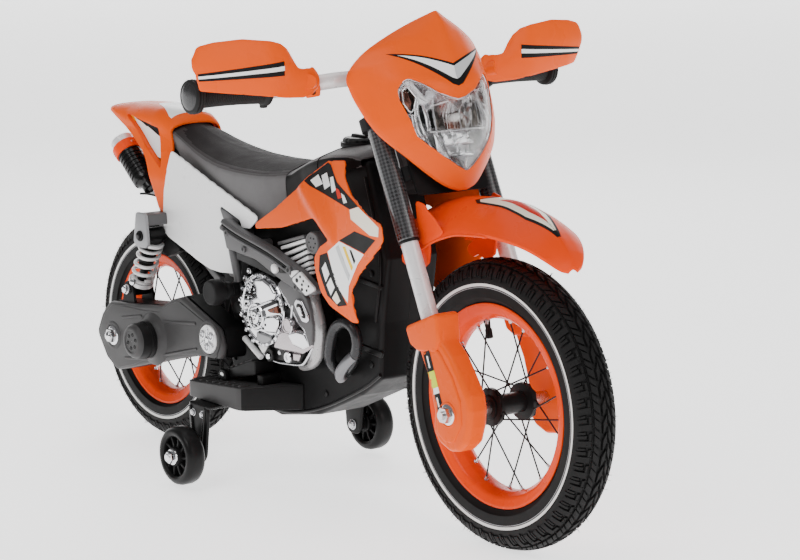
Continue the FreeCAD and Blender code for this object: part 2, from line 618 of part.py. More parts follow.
seat = rings([saddle(*a) for a in SEAT]).cut(BODY_ENV)
put("seat", max(seat.Solids, key=lambda s: s.Volume))
TANK = [(-371.5, 52, 436, 404), (-345, 62, 451, 411), (-315, 66, 464, 420), (-280, 66, 472, 430), (-245, 60, 470, 440), (-226, 50, 462, 446)]
TK_Y = [1.0, 1.0, 0.93, 0.78, 0.45, 0.0]
TK_D = [None, 0.6, 0.3, 0.12, 0.03, 0.0]


def hump(x, hw, zt, ze):
    ring = []
    for f, dd in zip(TK_Y, TK_D):
        ring.append((x, -hw * f, ze if dd is None else zt - (zt - ze) * dd))
    return ring + [(px, -py, pz) for px, py, pz in reversed(ring[:-1])]


tank = rings([hump(*a) for a in TANK])
tank = tank.fuse(cyl((-292, 0, 466), (-290, 0, 480), 21)).cut(BODY_ENV).cut(neck_slot)
put("tank_cover", max(tank.Solids, key=lambda s: s.Volume))

# tank shroud: lower point and upper point of each station, with their y
SHROUD = [((-428, 341, -80), (-424, 347, -80)), ((-345, 337, -85), (-362, 386, -82)), ((-268, 332, -90), (-306, 420, -80)),
          ((-243, 346, -92), (-266, 441, -80)), ((-229, 350, -93), (-222, 454, -82)), ((-232, 296, -88), (-190, 432, -94)),
          ((-216, 272, -85), (-150, 400, -102)), ((-196, 256, -82), (-112, 386, -107))]
g = []
for a, b in SHROUD:
    g.append([tuple(a[k] + (b[k] - a[k]) * f - (4.0 * math.sin(math.pi * f) if k == 2 else 0.0) for k in (0, 2, 1))
              for f in (0, 0.25, 0.5, 0.75, 1.0)])
sh = shell(g, 3.5)
sh = sh.fuse(cyl((-300, -86, 372), (-300, -BODY_HW - 0.6, 372), 7)).fuse(cyl((-250, -88, 408), (-250, -BODY_HW - 0.6, 408), 7))
put("tank_shrouds", *both(max(sh.Solids, key=lambda s: s.Volume)))

PANEL = [(-634, 423), (-412, 359), (-433, 342.5), (-454, 340.8), (-457.5, 350), (-509, 364.5), (-499, 348), (-493, 336), (-481, 317.5), (-471, 296.5),
         (-460, 278), (-509, 273.5), (-535, 274.2), (-565, 281), (-605, 292.6), (-645, 303.2), (-657, 309.6), (-658, 335), (-655, 367), (-646, 398)]
PANEL_AT = (-470.0, -70.4)          # x and y about which a side panel tapers in to the rear
PANEL_TAPER = 3.09                  # degrees in plan
pan = ext_y(PANEL, PANEL_AT[1], PANEL_AT[1] + 3.5, 3)
pan = soften(pan, 1.2, on_y(PANEL_AT[1]))
pan.rotate(V(PANEL_AT[0], PANEL_AT[1], 0), V(0, 0, 1), -PANEL_TAPER)
for bx, bz, by in ((-600, 372, -62.0), (-520, 330, -66.5)):
    pan = pan.fuse(cyl_y(bx, bz, by, -BODY_HW - 0.4, 7))
# notch for the shock bracket's bar
pan = pan.cut(ext_y([(-674, 320.6), (-646.6, 320.6), (-648.6, 335.4), (-672, 335.4)], -90, -52)).removeSplitter()
put("side_panels", *both(pan))

# tail cowl: x, half width at the shoulder, crown z, side edge z; its legs spread to LEG_W lower down
LEG_W, LEG_Z, WAIST_Z = 61.0, 388.0, 442.0
TAIL = [(-661, 40, 456, 347), (-667, 42, 464, 338), (-680, 43.5, 470.5, 362), (-695, 44.5, 474, 384), (-709, 45, 475.5, 403), (-726, 45, 475.6, 416),
        (-743, 45, 475.5, 425), (-769, 44, 474.5, 438), (-800, 41, 472.5, 450), (-828, 36, 469, 459), (-840, 27, 466, 461)]
TL = [(0.97, 0.42), (0.88, 0.66), (0.62, 0.86), (0.3, 0.97), (0.0, 1.0)]
g = []
for x, hw, zt, ze in TAIL:
    zs = max(ze + 0.2 * (zt - ze), zt - 26.0)
    row = []
    for t in (0.0, 1 / 3.0, 2 / 3.0, 1.0):
        z = ze + (zs - ze) * t
        f = min(1.0, max(0.0, (z - LEG_Z) / (WAIST_Z - LEG_Z)))
        row.append((x, -(LEG_W + (hw - LEG_W) * f), z))
    row += [(x, -hw * f, zs + (zt - zs) * k) for f, k in TL]
    g.append(row + [(px, -py, pz) for px, py, pz in reversed(row[:-1])])
tail = shell(g, 3.0)
tail = tail.fuse(cyl((-680, 0, 469), (-680, 0, 428.5), 7)).fuse(cyl((-725, 0, 474), (-725, 0, 430.8), 7))
tail = tail.cut(BODY_ENV)
put("tail_cowl", max(tail.Solids, key=lambda s: s.Volume))

gu = ring_y(RAX[0], RAX[1], -34, 34, 194, 191)
wedge = Part.Face(Part.makePolygon([V(RAX[0], -40, RAX[1]), V(RAX[0] + 300, -40, RAX[1] + 205), V(RAX[0] + 250, -40, RAX[1] + 400),
                                    V(RAX[0] - 60, -40, RAX[1] + 400), V(RAX[0], -40, RAX[1])])).extrude(V(0, 80, 0))
gu = gu.common(wedge)
for ang in (50, 80):
    c, s = math.cos(math.radians(ang)), math.sin(math.radians(ang))
    gu = gu.fuse(cyl((RAX[0] + 192.5 * c, 0, RAX[1] + 192.5 * s), (RAX[0] + 215 * c, 0, RAX[1] + 215 * s), 8))
gu = gu.cut(BODY_ENV)
put("rear_mudguard", max(gu.Solids, key=lambda s: s.Volume))

# ------------------------------------------------ footboards, pedal, stabilisers
PED_HX, PED_HZ = -480.0, 142.0      # pedal hinge
BOARD_Z = 110.0                     # underside of the footboards


def board_top(x):
    return 130.0 + (x + 531.0) * 10.0 / 130.0


def board(outline):
    """Footboard block: rounded outline, flat underside, top that rises towards the front."""
    b = Part.Face(round_wire([(x, y, BOARD_Z) for x, y in outline], [2, 12, 18, 2])).extrude(V(0, 0, 45))
    return b.common(ext_y([(-545, 105), (-335, 105), (-335, board_top(-335)), (-545, board_top(-545))], -130, -20))


def tread(brd, free):
    """Cross ribs on the top of a footboard; free is the strip the pedal leaves."""
    for k in range(8):
        x = -521 + k * 15.0
        y1 = -90 if free and -500 < x < -394 else -50
        brd = brd.fuse(Part.makeBox(5, y1 + 106, 5.5, V(x, -106, board_top(x) - 3)))
    return brd


FB = [(-528, -BODY_HW + 12), (-528, -112), (-401, -112), (-351, -BODY_HW + 12)]
env = ext_y(inset(BODY, -0.3), -BODY_HW - 0.3, BODY_HW + 0.3)
brd = tread(soften(board(FB), 4), True)
EAR = [(-490, 130), (-470, 130), (-472, 144), (-476, 149), (-484, 149), (-488, 144)]
brd = brd.fuse(ext_y(EAR, -86.6, -80.8)).fuse(ext_y(EAR, -49.0, -43.2))
brd = brd.fuse(soften(Part.makeBox(11.5, 29, 19, V(-409.5, -79, 134)), 2))
brd = brd.cut(cyl_y(PED_HX, PED_HZ, -100, -42, 4.06))
brd = brd.cut(env)
fb = max(brd.Solids, key=lambda s: s.Volume)
put("footboard_right", fb)
put("footboard_left", mirror(max(tread(soften(board(FB), 4), False).cut(env).Solids, key=lambda s: s.Volume)))
PED = [(-487, 139), (-484.5, 147.5), (-421, 171), (-413, 171), (-413, 151.5), (-420, 149.5), (-476, 137)]
ped = ext_y(PED, -80.0, -49.8, 2.5)
for k in range(5):
    x = -474 + 11.0 * k
    ped = ped.fuse(Part.makeBox(5, 25, 4.5, V(x, -77.5, 145.5 + (x + 484.5) * 0.37)))
ped = ped.fuse(cyl_y(PED_HX, PED_HZ, -86.6, -43.2, 4.0)).removeSplitter()
put("accelerator_pedal", ped)

br = ext_y([(-497, BOARD_Z - 0.4), (-449, BOARD_Z - 0.4), (-458, 36), (-466, 30), (-480, 30), (-488, 36)], -130, -125, 8)
br = br.fuse(Part.makeBox(44, 72, 5, V(-495, -130, BOARD_Z - 5.4))).fuse(cyl_y(TW_X, TW_Z, -176, -126, 5))
br = br.fuse(cyl_y(TW_X, TW_Z, -141.6, -128, 9))
br = br.cut(env).removeSplitter()
nut = hexnut(TW_X, TW_Z, -178, -171.4, 15, 5.1)
put("training_brackets", *(both(max(br.Solids, key=lambda s: s.Volume)) + both(nut)))
TWP = [(5 + RUN, -171), (13, -171), (13, -166), (26, -166), (28.5, -170), (35, -170), (TW_R, -166), (TW_R, -146), (35, -142), (28.5, -142), (26, -146),
       (13, -146), (13, -142), (5 + RUN, -142)]
tw = rev_y(TWP, TW_X, TW_Z)
for k in range(5):
    a = math.radians(72 * k + 18)
    tw = tw.cut(cyl_y(TW_X + 19.5 * math.cos(a), TW_Z + 19.5 * math.sin(a), -180, -130, 4.5))
put("training_wheel_right", tw)
put("training_wheel_left", mirror(tw))

put("battery", soften(Part.makeBox(96, 50, 84, V(-400, -25, 138)), 4))
put("controller", soften(Part.makeBox(64, 44, 34, V(-372, -22, 262)), 3))


# ------------------------------------------------------------------- swingarm
ARM = [(-777, 156), (-741, 204), (-607, 217), (-557, 238), (-470, 206), (-462, 165), (-511, 164), (-622, 136), (-726, 107)]
AXI = (RAX[0], RAX[1])
RP1, RP2, RP3 = MOD * N_WHEEL / 2, MOD * N_IDLER / 2, MOD * N_PINION / 2
D12, D23 = RP1 + RP2 + MESH_GAP, RP2 + RP3 + MESH_GAP
_dx, _dz = MOTOR[0] - AXI[0], MOTOR[1] - AXI[1]
_dm = math.hypot(_dx, _dz)
_a = (D12 * D12 - D23 * D23 + _dm * _dm) / (2 * _dm)
_h = math.sqrt(D12 * D12 - _a * _a)
IDL = (AXI[0] + _a * _dx / _dm - _h * _dz / _dm, AXI[1] + _a * _dz / _dm + _h * _dx / _dm)


def gear(cx, cz, n, y0, y1, phase, bore):
    """Spur gear about an axis along y, one tooth centred on the angle phase."""
    rp = MOD * n / 2
    rb = rp * math.cos(math.radians(20))
    ra, rf = rp + 0.9 * MOD, rp - 1.2 * MOD
    inv = lambda a: math.tan(a) - a
    half_p = math.pi / (2 * n) - 0.06 / rp
    i20 = inv(math.radians(20))

    def half_at(r):
        r = max(r, rb)
        return half_p + i20 - inv(math.acos(min(1.0, rb / r)))
    rads = [rf, max(rf + 0.05, rp - 0.7 * MOD), rp - 0.3 * MOD, rp, rp + 0.45 * MOD, ra]
    pts = []
    for k in range(n):
        a = phase + 2 * math.pi * k / n
        for r in rads:
            pts.append((r, a - half_at(r)))
        for r in reversed(rads):
            pts.append((r, a + half_at(r)))
    poly = [V(cx + r * math.cos(a), y0, cz + r * math.sin(a)) for r, a in pts]
    g = Part.Face(Part.makePolygon(poly + poly[:1])).extrude(V(0, y1 - y0, 0))
    return g.cut(cyl_y(cx, cz, y0 - 1, y1 + 1, bore))


def mesh_phase(c1, ph1, r1, c2, r2):
    al = math.atan2(c2[1] - c1[1], c2[0] - c1[0])
    p1 = MOD * math.pi
    d1 = (ph1 - al) * r1
    return al + math.pi + (p1 / 2 - d1) / r2


GY0, GY1 = -84.0, -76.0
ph1 = 0.0
ph2 = mesh_phase(AXI, ph1, RP1, IDL, RP2)
ph3 = mesh_phase(IDL, ph2, RP2, MOTOR, RP3)
put("drive_gear", gear(AXI[0], AXI[1], N_WHEEL, GY0, GY1, ph1, 10.1))
idl = gear(IDL[0], IDL[1], N_IDLER, GY0, GY1, ph2, 4 + RUN)
for k in range(5):
    a = math.radians(72 * k)
    idl = idl.cut(cyl_y(IDL[0] + 18 * math.cos(a), IDL[1] + 18 * math.sin(a), GY0 - 1, GY1 + 1, 6))
put("idler_gear", idl)
pin = gear(MOTOR[0], MOTOR[1], N_PINION, GY0, GY1, ph3, 2.0).fuse(cyl_y(MOTOR[0], MOTOR[1], -100, -72, 2.5)).removeSplitter()
put("motor_pinion", pin)

LUG = [(-717, 198), (-683, 201), (-690, 232), (-695, 237), (-705, 237), (-710, 232)]
hou = ext_y(ARM, -88, -58, 9).cut(ext_y(inset(ARM, 4.0), -95, -62, 6))
hou = hou.fuse(cyl_y(PIV[0], PIV[1], -88, -58, 16))
hou = hou.fuse(cyl_y(IDL[0], IDL[1], -87.8, -60, 4.0))
hou = hou.cut(cyl_y(PIV[0], PIV[1], -100, -50, 8 + RUN))
hou = hou.cut(cyl_y(AXI[0], AXI[1], -70, -50, 13.5))
hou = hou.fuse(ext_y(LUG, -92, -88, 5)).fuse(ext_y(LUG, -61.4, -58, 5))
hou = hou.fuse(cyl_y(SHOCK_BOT[0], SHOCK_BOT[1], -94, -58, 5))
hou = hou.fuse(cyl_y(-560, 190, -59, 57.8, 7)).removeSplitter()
put("swingarm_right", max(hou.Solids, key=lambda s: s.Volume))
gc = soften(ext_y(ARM, -97, -88.2, 9), 4, on_y(-97))
gc = gc.fuse(cyl_y(MOTOR[0], MOTOR[1], -135, -95, 23))
gc = soften(gc, 3, on_y(-135))
gc = gc.cut(cyl_y(MOTOR[0], MOTOR[1], -132, -80, 20.3))
for k in range(12):
    a = math.radians(30 * k + 15)
    vx, vz = MOTOR[0] + 23 * math.cos(a), MOTOR[1] + 23 * math.sin(a)
    gc = gc.cut(cyl((vx, -125, vz), (vx, -108, vz), 1.8))
for k in range(8):
    a = math.radians(45 * k)
    gc = gc.cut(cyl_y(MOTOR[0] + 12 * math.cos(a), MOTOR[1] + 12 * math.sin(a), -140, -130, 1.8))
gc = gc.cut(cyl_y(PIV[0], PIV[1], -110, -80, 8 + RUN)).cut(cyl_y(AXI[0], AXI[1], -110, -80, AXLE_R + 0.1))
gc = gc.cut(ext_y(LUG, -92.3, -87.5, 4.5)).cut(ext_y(inset(LUG, -0.3), -92.3, -80, 5))
rib = ext_y(inset(ARM, 9.0), -99, -96.5, 6).cut(ext_y(inset(ARM, 12.0), -105, -90, 5))
rib = rib.cut(cyl_y(PIV[0], PIV[1], -110, -80, 21)).cut(cyl_y(AXI[0], AXI[1], -110, -80, 16))
rib = rib.cut(cyl_y(MOTOR[0], MOTOR[1], -110, -80, 22))
gc = gc.fuse(rib).removeSplitter()
put("gearbox_cover", max(gc.Solids, key=lambda s: s.Volume))
la = soften(ext_y(ARM, 58, 88, 9), 4, on_y(88)).cut(ext_y(inset(ARM, 7.0), 79, 95, 6))
la = la.fuse(cyl_y(PIV[0], PIV[1], 58, 97, 16)).fuse(cyl_y(AXI[0], AXI[1], 60, 88, 16))
la = la.cut(cyl_y(PIV[0], PIV[1], 50, 110, 8 + RUN)).cut(cyl_y(AXI[0], AXI[1], 50, 110, AXLE_R + 0.1))
la = la.fuse(ext_y(LUG, 88, 92, 5)).fuse(ext_y(LUG, 58, 61.4, 5)).fuse(cyl_y(SHOCK_BOT[0], SHOCK_BOT[1], 58, 94, 5))
la = la.removeSplitter()
put("swingarm_left", max(la.Solids, key=lambda s: s.Volume))
mot = cyl_y(MOTOR[0], MOTOR[1], -131.6, -86.6, 19.9).fuse(cyl_y(MOTOR[0], MOTOR[1], -88.1, -86.6, 24))
mot = mot.cut(cyl_y(MOTOR[0], MOTOR[1], -101, -80, 2.5 + RUN)).removeSplitter()
put("drive_motor", mot)
ax = [cyl_y(AXI[0], AXI[1], -110, 102, AXLE_R)]
ax.append(ring_y(AXI[0], AXI[1], 30.4, 57.8, 8.5, AXLE_R + 0.1))
ax.append(ring_y(AXI[0], AXI[1], -88, -85.4, 8.5, AXLE_R + 0.1))
for y0, y1, k in ((-99.2, -97.2, 1), (88.2, 90.2, 1)):
    ax.append(ring_y(AXI[0], AXI[1], y0, y1, 13, AXLE_R + 0.1))
ax.append(hexnut(AXI[0], AXI[1], -107.4, -99.4, 17, AXLE_R + 0.1))
ax.append(hexnut(AXI[0], AXI[1], 90.4, 98.4, 17, AXLE_R + 0.1))
put("rear_axle", *ax)

# --------------------------------------------------------------------- shocks
T3 = V(SHOCK_TOP[0], -SHOCK_Y, SHOCK_TOP[1])
B3 = V(SHOCK_BOT[0], -SHOCK_Y, SHOCK_BOT[1])
e = B3 - T3
SL = e.Length
e.normalize()
uc = cyl_y(T3.x, T3.z, -86, -62, 10).fuse(Part.makeCylinder(9, 48, T3 + e * 6, e)).fuse(Part.makeCylinder(16.8, 3, T3 + e * 12, e))
uc = uc.cut(Part.makeCylinder(6.4, 60, T3 + e * 22, e)).cut(cyl_y(T3.x, T3.z, -100, -50, 5 + RUN)).removeSplitter()
put("shock_cylinders", *both(uc))
lr = cyl_y(B3.x, B3.z, -86, -62, 10).fuse(Part.makeCylinder(6, SL - 46, B3 - e * 6, e * -1)).fuse(Part.makeCylinder(16.8, 3, B3 - e * 12, e * -1))
lr = lr.cut(cyl_y(B3.x, B3.z, -100, -50, 5 + RUN)).removeSplitter()
put("shock_rods", *both(lr))
TURNS, WIRE_R, COIL_R = 6, 2.0, 14.5
Z0, Z1 = 15.0 + WIRE_R + 0.2, SL - 15.0 - WIRE_R - 0.2
side = V(0, 1, 0)
fwd = e.cross(side)
spr = []
npt = TURNS * 20
path = []
for i in range(npt + 1):
    a = 2 * math.pi * TURNS * i / npt
    path.append(T3 + e * (Z0 + (Z1 - Z0) * i / npt) + side * (COIL_R * math.cos(a)) + fwd * (COIL_R * math.sin(a)))
secs = []
for i, pnt in enumerate(path):
    tg = path[min(i + 1, npt)] - path[max(i - 1, 0)]
    tg.normalize()
    rad = pnt - (T3 + e * (pnt - T3).dot(e))
    rad.normalize()
    bn = tg.cross(rad)
    bn.normalize()
    secs.append([tuple(pnt + rad * (WIRE_R * math.cos(2 * math.pi * k / 8)) + bn * (WIRE_R * math.sin(2 * math.pi * k / 8))) for k in range(8)])
put("shock_springs", *both(rings(secs)))

# ------------------------------------------------------------------ fasteners
scr = []
for sx, sz in ((-466, 334), (-428, 317), (-312, 284)):
    scr.append(soften(cyl_y(sx, sz, -89.5, -86.1, 5), 1.2).cut(hexnut(sx, sz, -92, -88, 5, 0.01).fuse(cyl_y(sx, sz, -92, -88, 1))))
for k in range(3):
    a = math.radians(120 * k + 90)
    scr.append(cyl_y(PIV[0] + 12 * math.cos(a), PIV[1] + 12 * math.sin(a), -103.6, -102.1, 3))
for sx, sz in ((-436, 272), (-430, 230), (-362, 192), (-304, 252)):
    scr.append(cyl_y(sx, sz, -79, -76.1, 4))
put("fasteners", *[q for s in scr for q in both(s)])

# --------------------------------------------------------------------- export
os.makedirs("parts", exist_ok=True)
for name, solids in PARTS.items():
    shape = solids[0] if len(solids) == 1 else Part.makeCompound(solids)
    shape = shape.copy()
    shape.translate(V(OX, 0, 0))
    shape.exportStep("parts/%s.step" % name)
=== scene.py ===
import bpy
import bmesh
import math
import random
from mathutils import Vector, Matrix
from mathutils.bvhtree import BVHTree


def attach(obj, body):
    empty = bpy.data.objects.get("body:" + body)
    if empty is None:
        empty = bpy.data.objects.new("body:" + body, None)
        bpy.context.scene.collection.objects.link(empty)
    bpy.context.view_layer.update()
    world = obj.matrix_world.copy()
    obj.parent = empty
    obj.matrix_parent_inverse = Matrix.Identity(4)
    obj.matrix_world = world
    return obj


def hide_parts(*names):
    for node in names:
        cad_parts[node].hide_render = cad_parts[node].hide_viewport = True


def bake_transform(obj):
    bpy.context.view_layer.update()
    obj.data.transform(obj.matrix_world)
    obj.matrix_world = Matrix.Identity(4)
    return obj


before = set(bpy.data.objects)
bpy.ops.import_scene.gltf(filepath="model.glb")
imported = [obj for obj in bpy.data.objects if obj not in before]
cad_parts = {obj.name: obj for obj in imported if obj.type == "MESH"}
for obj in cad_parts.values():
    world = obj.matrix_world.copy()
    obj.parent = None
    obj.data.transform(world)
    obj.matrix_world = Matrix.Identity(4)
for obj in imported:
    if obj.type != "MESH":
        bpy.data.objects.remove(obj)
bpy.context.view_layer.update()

# ---------------------------------------------------------------------------
# The model is described in millimetres with x = 0 at the front axle; L() takes
# such a point to the shared frame in metres.
OX = 355.0


def L(p):
    return Vector(((p[0] + OX) / 1000.0, p[1] / 1000.0, p[2] / 1000.0))


_k = math.hypot(1.0, 0.465)
UX, UZ = -0.465 / _k, 1.0 / _k
NX, NZ = UZ, -UX


def F(s, y, t):
    """Fork frame: s up the fork, y to the left, t forward."""
    return (-58.0 + s * UX + t * NX, y, 281.0 + s * UZ + t * NZ)


# ---------------------------------------------------------------- materials
def mat(name, color, rough=0.5, metal=0.0, coat=0.0, coat_rough=0.05, spec=0.5, mottle=0.0, mottle_scale=60.0,
        rough_var=0.06, bump=0.0, bump_scale=400.0, bump_dist=0.0004, transmission=0.0, ior=1.45, alpha=1.0, emit=0.0,
        grain="noise"):
    m = bpy.data.materials.new(name)
    m.use_nodes = True
    nt = m.node_tree
    b = nt.nodes["Principled BSDF"]
    b.inputs["Base Color"].default_value = (*color, 1.0)
    b.inputs["Roughness"].default_value = rough
    b.inputs["Metallic"].default_value = metal
    b.inputs["Coat Weight"].default_value = coat
    b.inputs["Coat Roughness"].default_value = coat_rough
    b.inputs["Specular IOR Level"].default_value = spec
    b.inputs["IOR"].default_value = ior
    b.inputs["Transmission Weight"].default_value = transmission
    b.inputs["Alpha"].default_value = alpha
    tc = nt.nodes.new("ShaderNodeTexCoord")
    n1 = nt.nodes.new("ShaderNodeTexNoise")
    n1.inputs["Scale"].default_value = mottle_scale
    n1.inputs["Detail"].default_value = 4.0
    nt.links.new(tc.outputs["Object"], n1.inputs["Vector"])
    mr = nt.nodes.new("ShaderNodeMapRange")
    mr.inputs["From Min"].default_value = 0.3
    mr.inputs["From Max"].default_value = 0.7
    mr.inputs["To Min"].default_value = max(0.0, rough - rough_var)
    mr.inputs["To Max"].default_value = min(1.0, rough + rough_var)
    nt.links.new(n1.outputs["Fac"], mr.inputs["Value"])
    nt.links.new(mr.outputs["Result"], b.inputs["Roughness"])
    if mottle > 0:
        mx = nt.nodes.new("ShaderNodeMix")
        mx.data_type = "RGBA"
        mx.inputs["A"].default_value = (*[c * (1 - mottle) for c in color], 1.0)
        mx.inputs["B"].default_value = (*[min(1.0, c * (1 + mottle)) for c in color], 1.0)
        nt.links.new(n1.outputs["Fac"], mx.inputs["Factor"])
        nt.links.new(mx.outputs["Result"], b.inputs["Base Color"])
    if bump > 0:
        if grain == "voronoi":
            n2 = nt.nodes.new("ShaderNodeTexVoronoi")
            out = n2.outputs["Distance"]
        else:
            n2 = nt.nodes.new("ShaderNodeTexNoise")
            n2.inputs["Detail"].default_value = 3.0
            out = n2.outputs["Fac"]
        n2.inputs["Scale"].default_value = bump_scale
        nt.links.new(tc.outputs["Object"], n2.inputs["Vector"])
        bp = nt.nodes.new("ShaderNodeBump")
        bp.inputs["Strength"].default_value = bump
        bp.inputs["Distance"].default_value = bump_dist
        nt.links.new(out, bp.inputs["Height"])
        nt.links.new(bp.outputs["Normal"], b.inputs["Normal"])
    if emit > 0:
        b.inputs["Emission Color"].default_value = (*color, 1.0)
        b.inputs["Emission Strength"].default_value = emit
    return m


ORANGE = mat("orange_gloss", (0.88, 0.096, 0.0), rough=0.30, coat=0.0, spec=0.12, mottle=0.03, mottle_scale=25)
ORANGE_RED = mat("orange_fender", (0.88, 0.058, 0.0), rough=0.30, coat=0.0, spec=0.12, mottle=0.03, mottle_scale=25)
RIM = mat("orange_rim", (0.88, 0.058, 0.0), rough=0.26, coat=0.0, spec=0.14, mottle=0.03, mottle_scale=25)
WHITE = mat("white_gloss", (0.95, 0.95, 0.95), rough=0.32, coat=0.2, mottle=0.01)
BLACK = mat("black_grain", (0.0095, 0.0092, 0.0094), rough=0.46, spec=0.13, mottle=0.15, bump=0.35, bump_scale=900, bump_dist=0.0002)
BLACK_SATIN = mat("black_satin", (0.0082, 0.0080, 0.0081), rough=0.36, spec=0.19, mottle=0.1, bump=0.06, bump_scale=500)
BLACK_GLOSS = mat("black_gloss", (0.008, 0.008, 0.008), rough=0.20, spec=0.35, mottle=0.1)
SEAT = mat("seat_grain", (0.078, 0.072, 0.072), rough=0.50, spec=0.3, mottle=0.22, bump=0.6, bump_scale=1100, bump_dist=0.00035, grain="voronoi")
GREY = mat("grey_plastic", (0.098, 0.096, 0.098), rough=0.38, spec=0.3, mottle=0.1, bump=0.12, bump_scale=700)
# painted light on the seat: four tones, darkest for the top and lightest for the flanks
SEAT_PAINTED_LIGHT_TONES = [mat("seat_painted_light_tone_%d" % i, c, rough=0.62 - 0.04 * i, spec=(0.05, 0.10, 0.18, 0.24)[i], mottle=0.2, bump=0.6, bump_scale=1100, bump_dist=0.00035, grain="voronoi")
              for i, c in enumerate(((0.022, 0.0188, 0.0194), (0.042, 0.0375, 0.038), (0.078, 0.073, 0.074), (0.125, 0.121, 0.122)))]
PLATE = mat("plate_grey", (0.30, 0.30, 0.31), rough=0.34, metal=0.3, mottle=0.06)
GREY_DARK = mat("grey_dark", (0.050, 0.0485, 0.049), rough=0.44, spec=0.28, mottle=0.18, mottle_scale=30, bump=0.10, bump_scale=600)
RUBBER = mat("tyre_rubber", (0.0090, 0.0085, 0.0085), rough=0.60, spec=0.2, mottle=0.25, mottle_scale=90, bump=0.25, bump_scale=600)
GRIP_END = mat("grip_end", (0.020, 0.020, 0.021), rough=0.22, spec=0.6, mottle=0.1, rough_var=0.04)
# metal tinted mauve as a painted reflection
MAUVE_PAINTED_REFLECTION = mat("mauve_painted_reflection_metal", (0.46, 0.42, 0.43), rough=0.20, metal=0.85, mottle=0.12, mottle_scale=40)
GRIP = mat("grip_rubber", (0.009, 0.009, 0.009), rough=0.55, spec=0.25, mottle=0.2, bump=0.3, bump_scale=900)
CHROME = mat("chrome_plate", (0.80, 0.80, 0.82), rough=0.10, metal=1.0, mottle=0.05, rough_var=0.05)
CHROME_SOFT = mat("chrome_satin", (0.62, 0.62, 0.64), rough=0.24, metal=1.0, mottle=0.08, rough_var=0.06)
STEEL = mat("zinc_steel", (0.62, 0.62, 0.62), rough=0.28, metal=1.0, mottle=0.1)
SILVER = mat("silver_paint", (0.80, 0.79, 0.79), rough=0.30, metal=0.15, coat=0.5, mottle=0.02)
PIPE = mat("pipe_grey", (0.20, 0.20, 0.21), rough=0.32, metal=0.7, mottle=0.08)
PIPE_LIGHT = mat("pipe_light", (0.42, 0.41, 0.41), rough=0.30, metal=0.55, mottle=0.06)
PIPE_DARK = mat("pipe_dark", (0.030, 0.030, 0.032), rough=0.26, metal=0.5, mottle=0.1)
FRAME_STEEL = mat("frame_paint", (0.05, 0.05, 0.052), rough=0.45, mottle=0.1, bump=0.1, bump_scale=500)
NYLON = mat("nylon_gear", (0.75, 0.73, 0.66), rough=0.5, mottle=0.04)
CASE = mat("case_plastic", (0.06, 0.06, 0.065), rough=0.5, mottle=0.1, bump=0.1)
DECAL_WHITE = mat("decal_white", (0.95, 0.95, 0.94), rough=0.35, coat=0.2)
DECAL_BLACK = mat("decal_black", (0.010, 0.0095, 0.0095), rough=0.42, spec=0.10)
DECAL_CREAM = mat("decal_cream", (0.92, 0.84, 0.68), rough=0.35, coat=0.3)
DECAL_RED = mat("decal_red", (0.60, 0.02, 0.005), rough=0.35, spec=0.15)
DECAL_GREY = mat("decal_grey", (0.35, 0.35, 0.36), rough=0.35, coat=0.3)
DECAL_GREY2 = mat("decal_silver", (0.55, 0.56, 0.57), rough=0.35, coat=0.3)
DECAL_LIME = mat("decal_lime", (0.66, 0.80, 0.02), rough=0.35, spec=0.15)
DECAL_YELLOW = mat("decal_yellow", (0.95, 0.62, 0.0), rough=0.35, spec=0.15)
REFLECT_DIM = mat("reflector_dim", (0.42, 0.41, 0.42), rough=0.14, metal=1.0, mottle=0.15, mottle_scale=40, rough_var=0.05)
# dark and brown metal for reflections painted into the lamp's mirrors; the brown also tints the amber side-lamp pocket
PAINTED_DARK_REFLECTION = mat("painted_dark_reflection_metal", (0.10, 0.085, 0.075), rough=0.12, metal=1.0, mottle=0.35, mottle_scale=70)
AMBER_AND_PAINTED_REFLECTION = mat("amber_and_painted_reflection_metal", (0.12, 0.045, 0.03), rough=0.14, metal=0.9, mottle=0.4, mottle_scale=60)
WALL_WHITE = mat("wall_line", (0.82, 0.81, 0.79), rough=0.5, mottle=0.05)
REFLECT = mat("reflector_mirror", (0.86, 0.86, 0.88), rough=0.07, metal=1.0, mottle=0.06, rough_var=0.04)
BULB = mat("bulb_glass", (0.9, 0.9, 0.88), rough=0.12, mottle=0.02)
LENS = mat("lens_clear", (1.0, 1.0, 1.0), rough=0.02, transmission=1.0, ior=1.45, alpha=0.45, rough_var=0.015)



def carbon_mat():
    """Woven sleeve: squares of fibre laid two over two under a clear coat."""
    m = mat("carbon_weave", (0.03, 0.03, 0.032), rough=0.30, coat=0.8, coat_rough=0.10, spec=0.6)
    nt = m.node_tree
    b = nt.nodes["Principled BSDF"]
    for k in list(b.inputs["Base Color"].links):
        nt.links.remove(k)
    uv = nt.nodes.new("ShaderNodeTexCoord")
    mp = nt.nodes.new("ShaderNodeMapping")
    mp.inputs["Scale"].default_value = (26.0, 26.0, 1.0)
    mp.inputs["Rotation"].default_value = (0.0, 0.0, math.radians(45))
    nt.links.new(uv.outputs["UV"], mp.inputs["Vector"])
    ck = nt.nodes.new("ShaderNodeTexChecker")
    ck.inputs["Scale"].default_value = 1.0
    ck.inputs["Color1"].default_value = (0.055, 0.055, 0.058, 1)
    ck.inputs["Color2"].default_value = (0.012, 0.012, 0.013, 1)
    nt.links.new(mp.outputs["Vector"], ck.inputs["Vector"])
    nt.links.new(ck.outputs["Color"], b.inputs["Base Color"])
    bp = nt.nodes.new("ShaderNodeBump")
    bp.inputs["Strength"].default_value = 0.5
    bp.inputs["Distance"].default_value = 0.0004
    nt.links.new(ck.outputs["Fac"], bp.inputs["Height"])
    nt.links.new(bp.outputs["Normal"], b.inputs["Normal"])
    return m


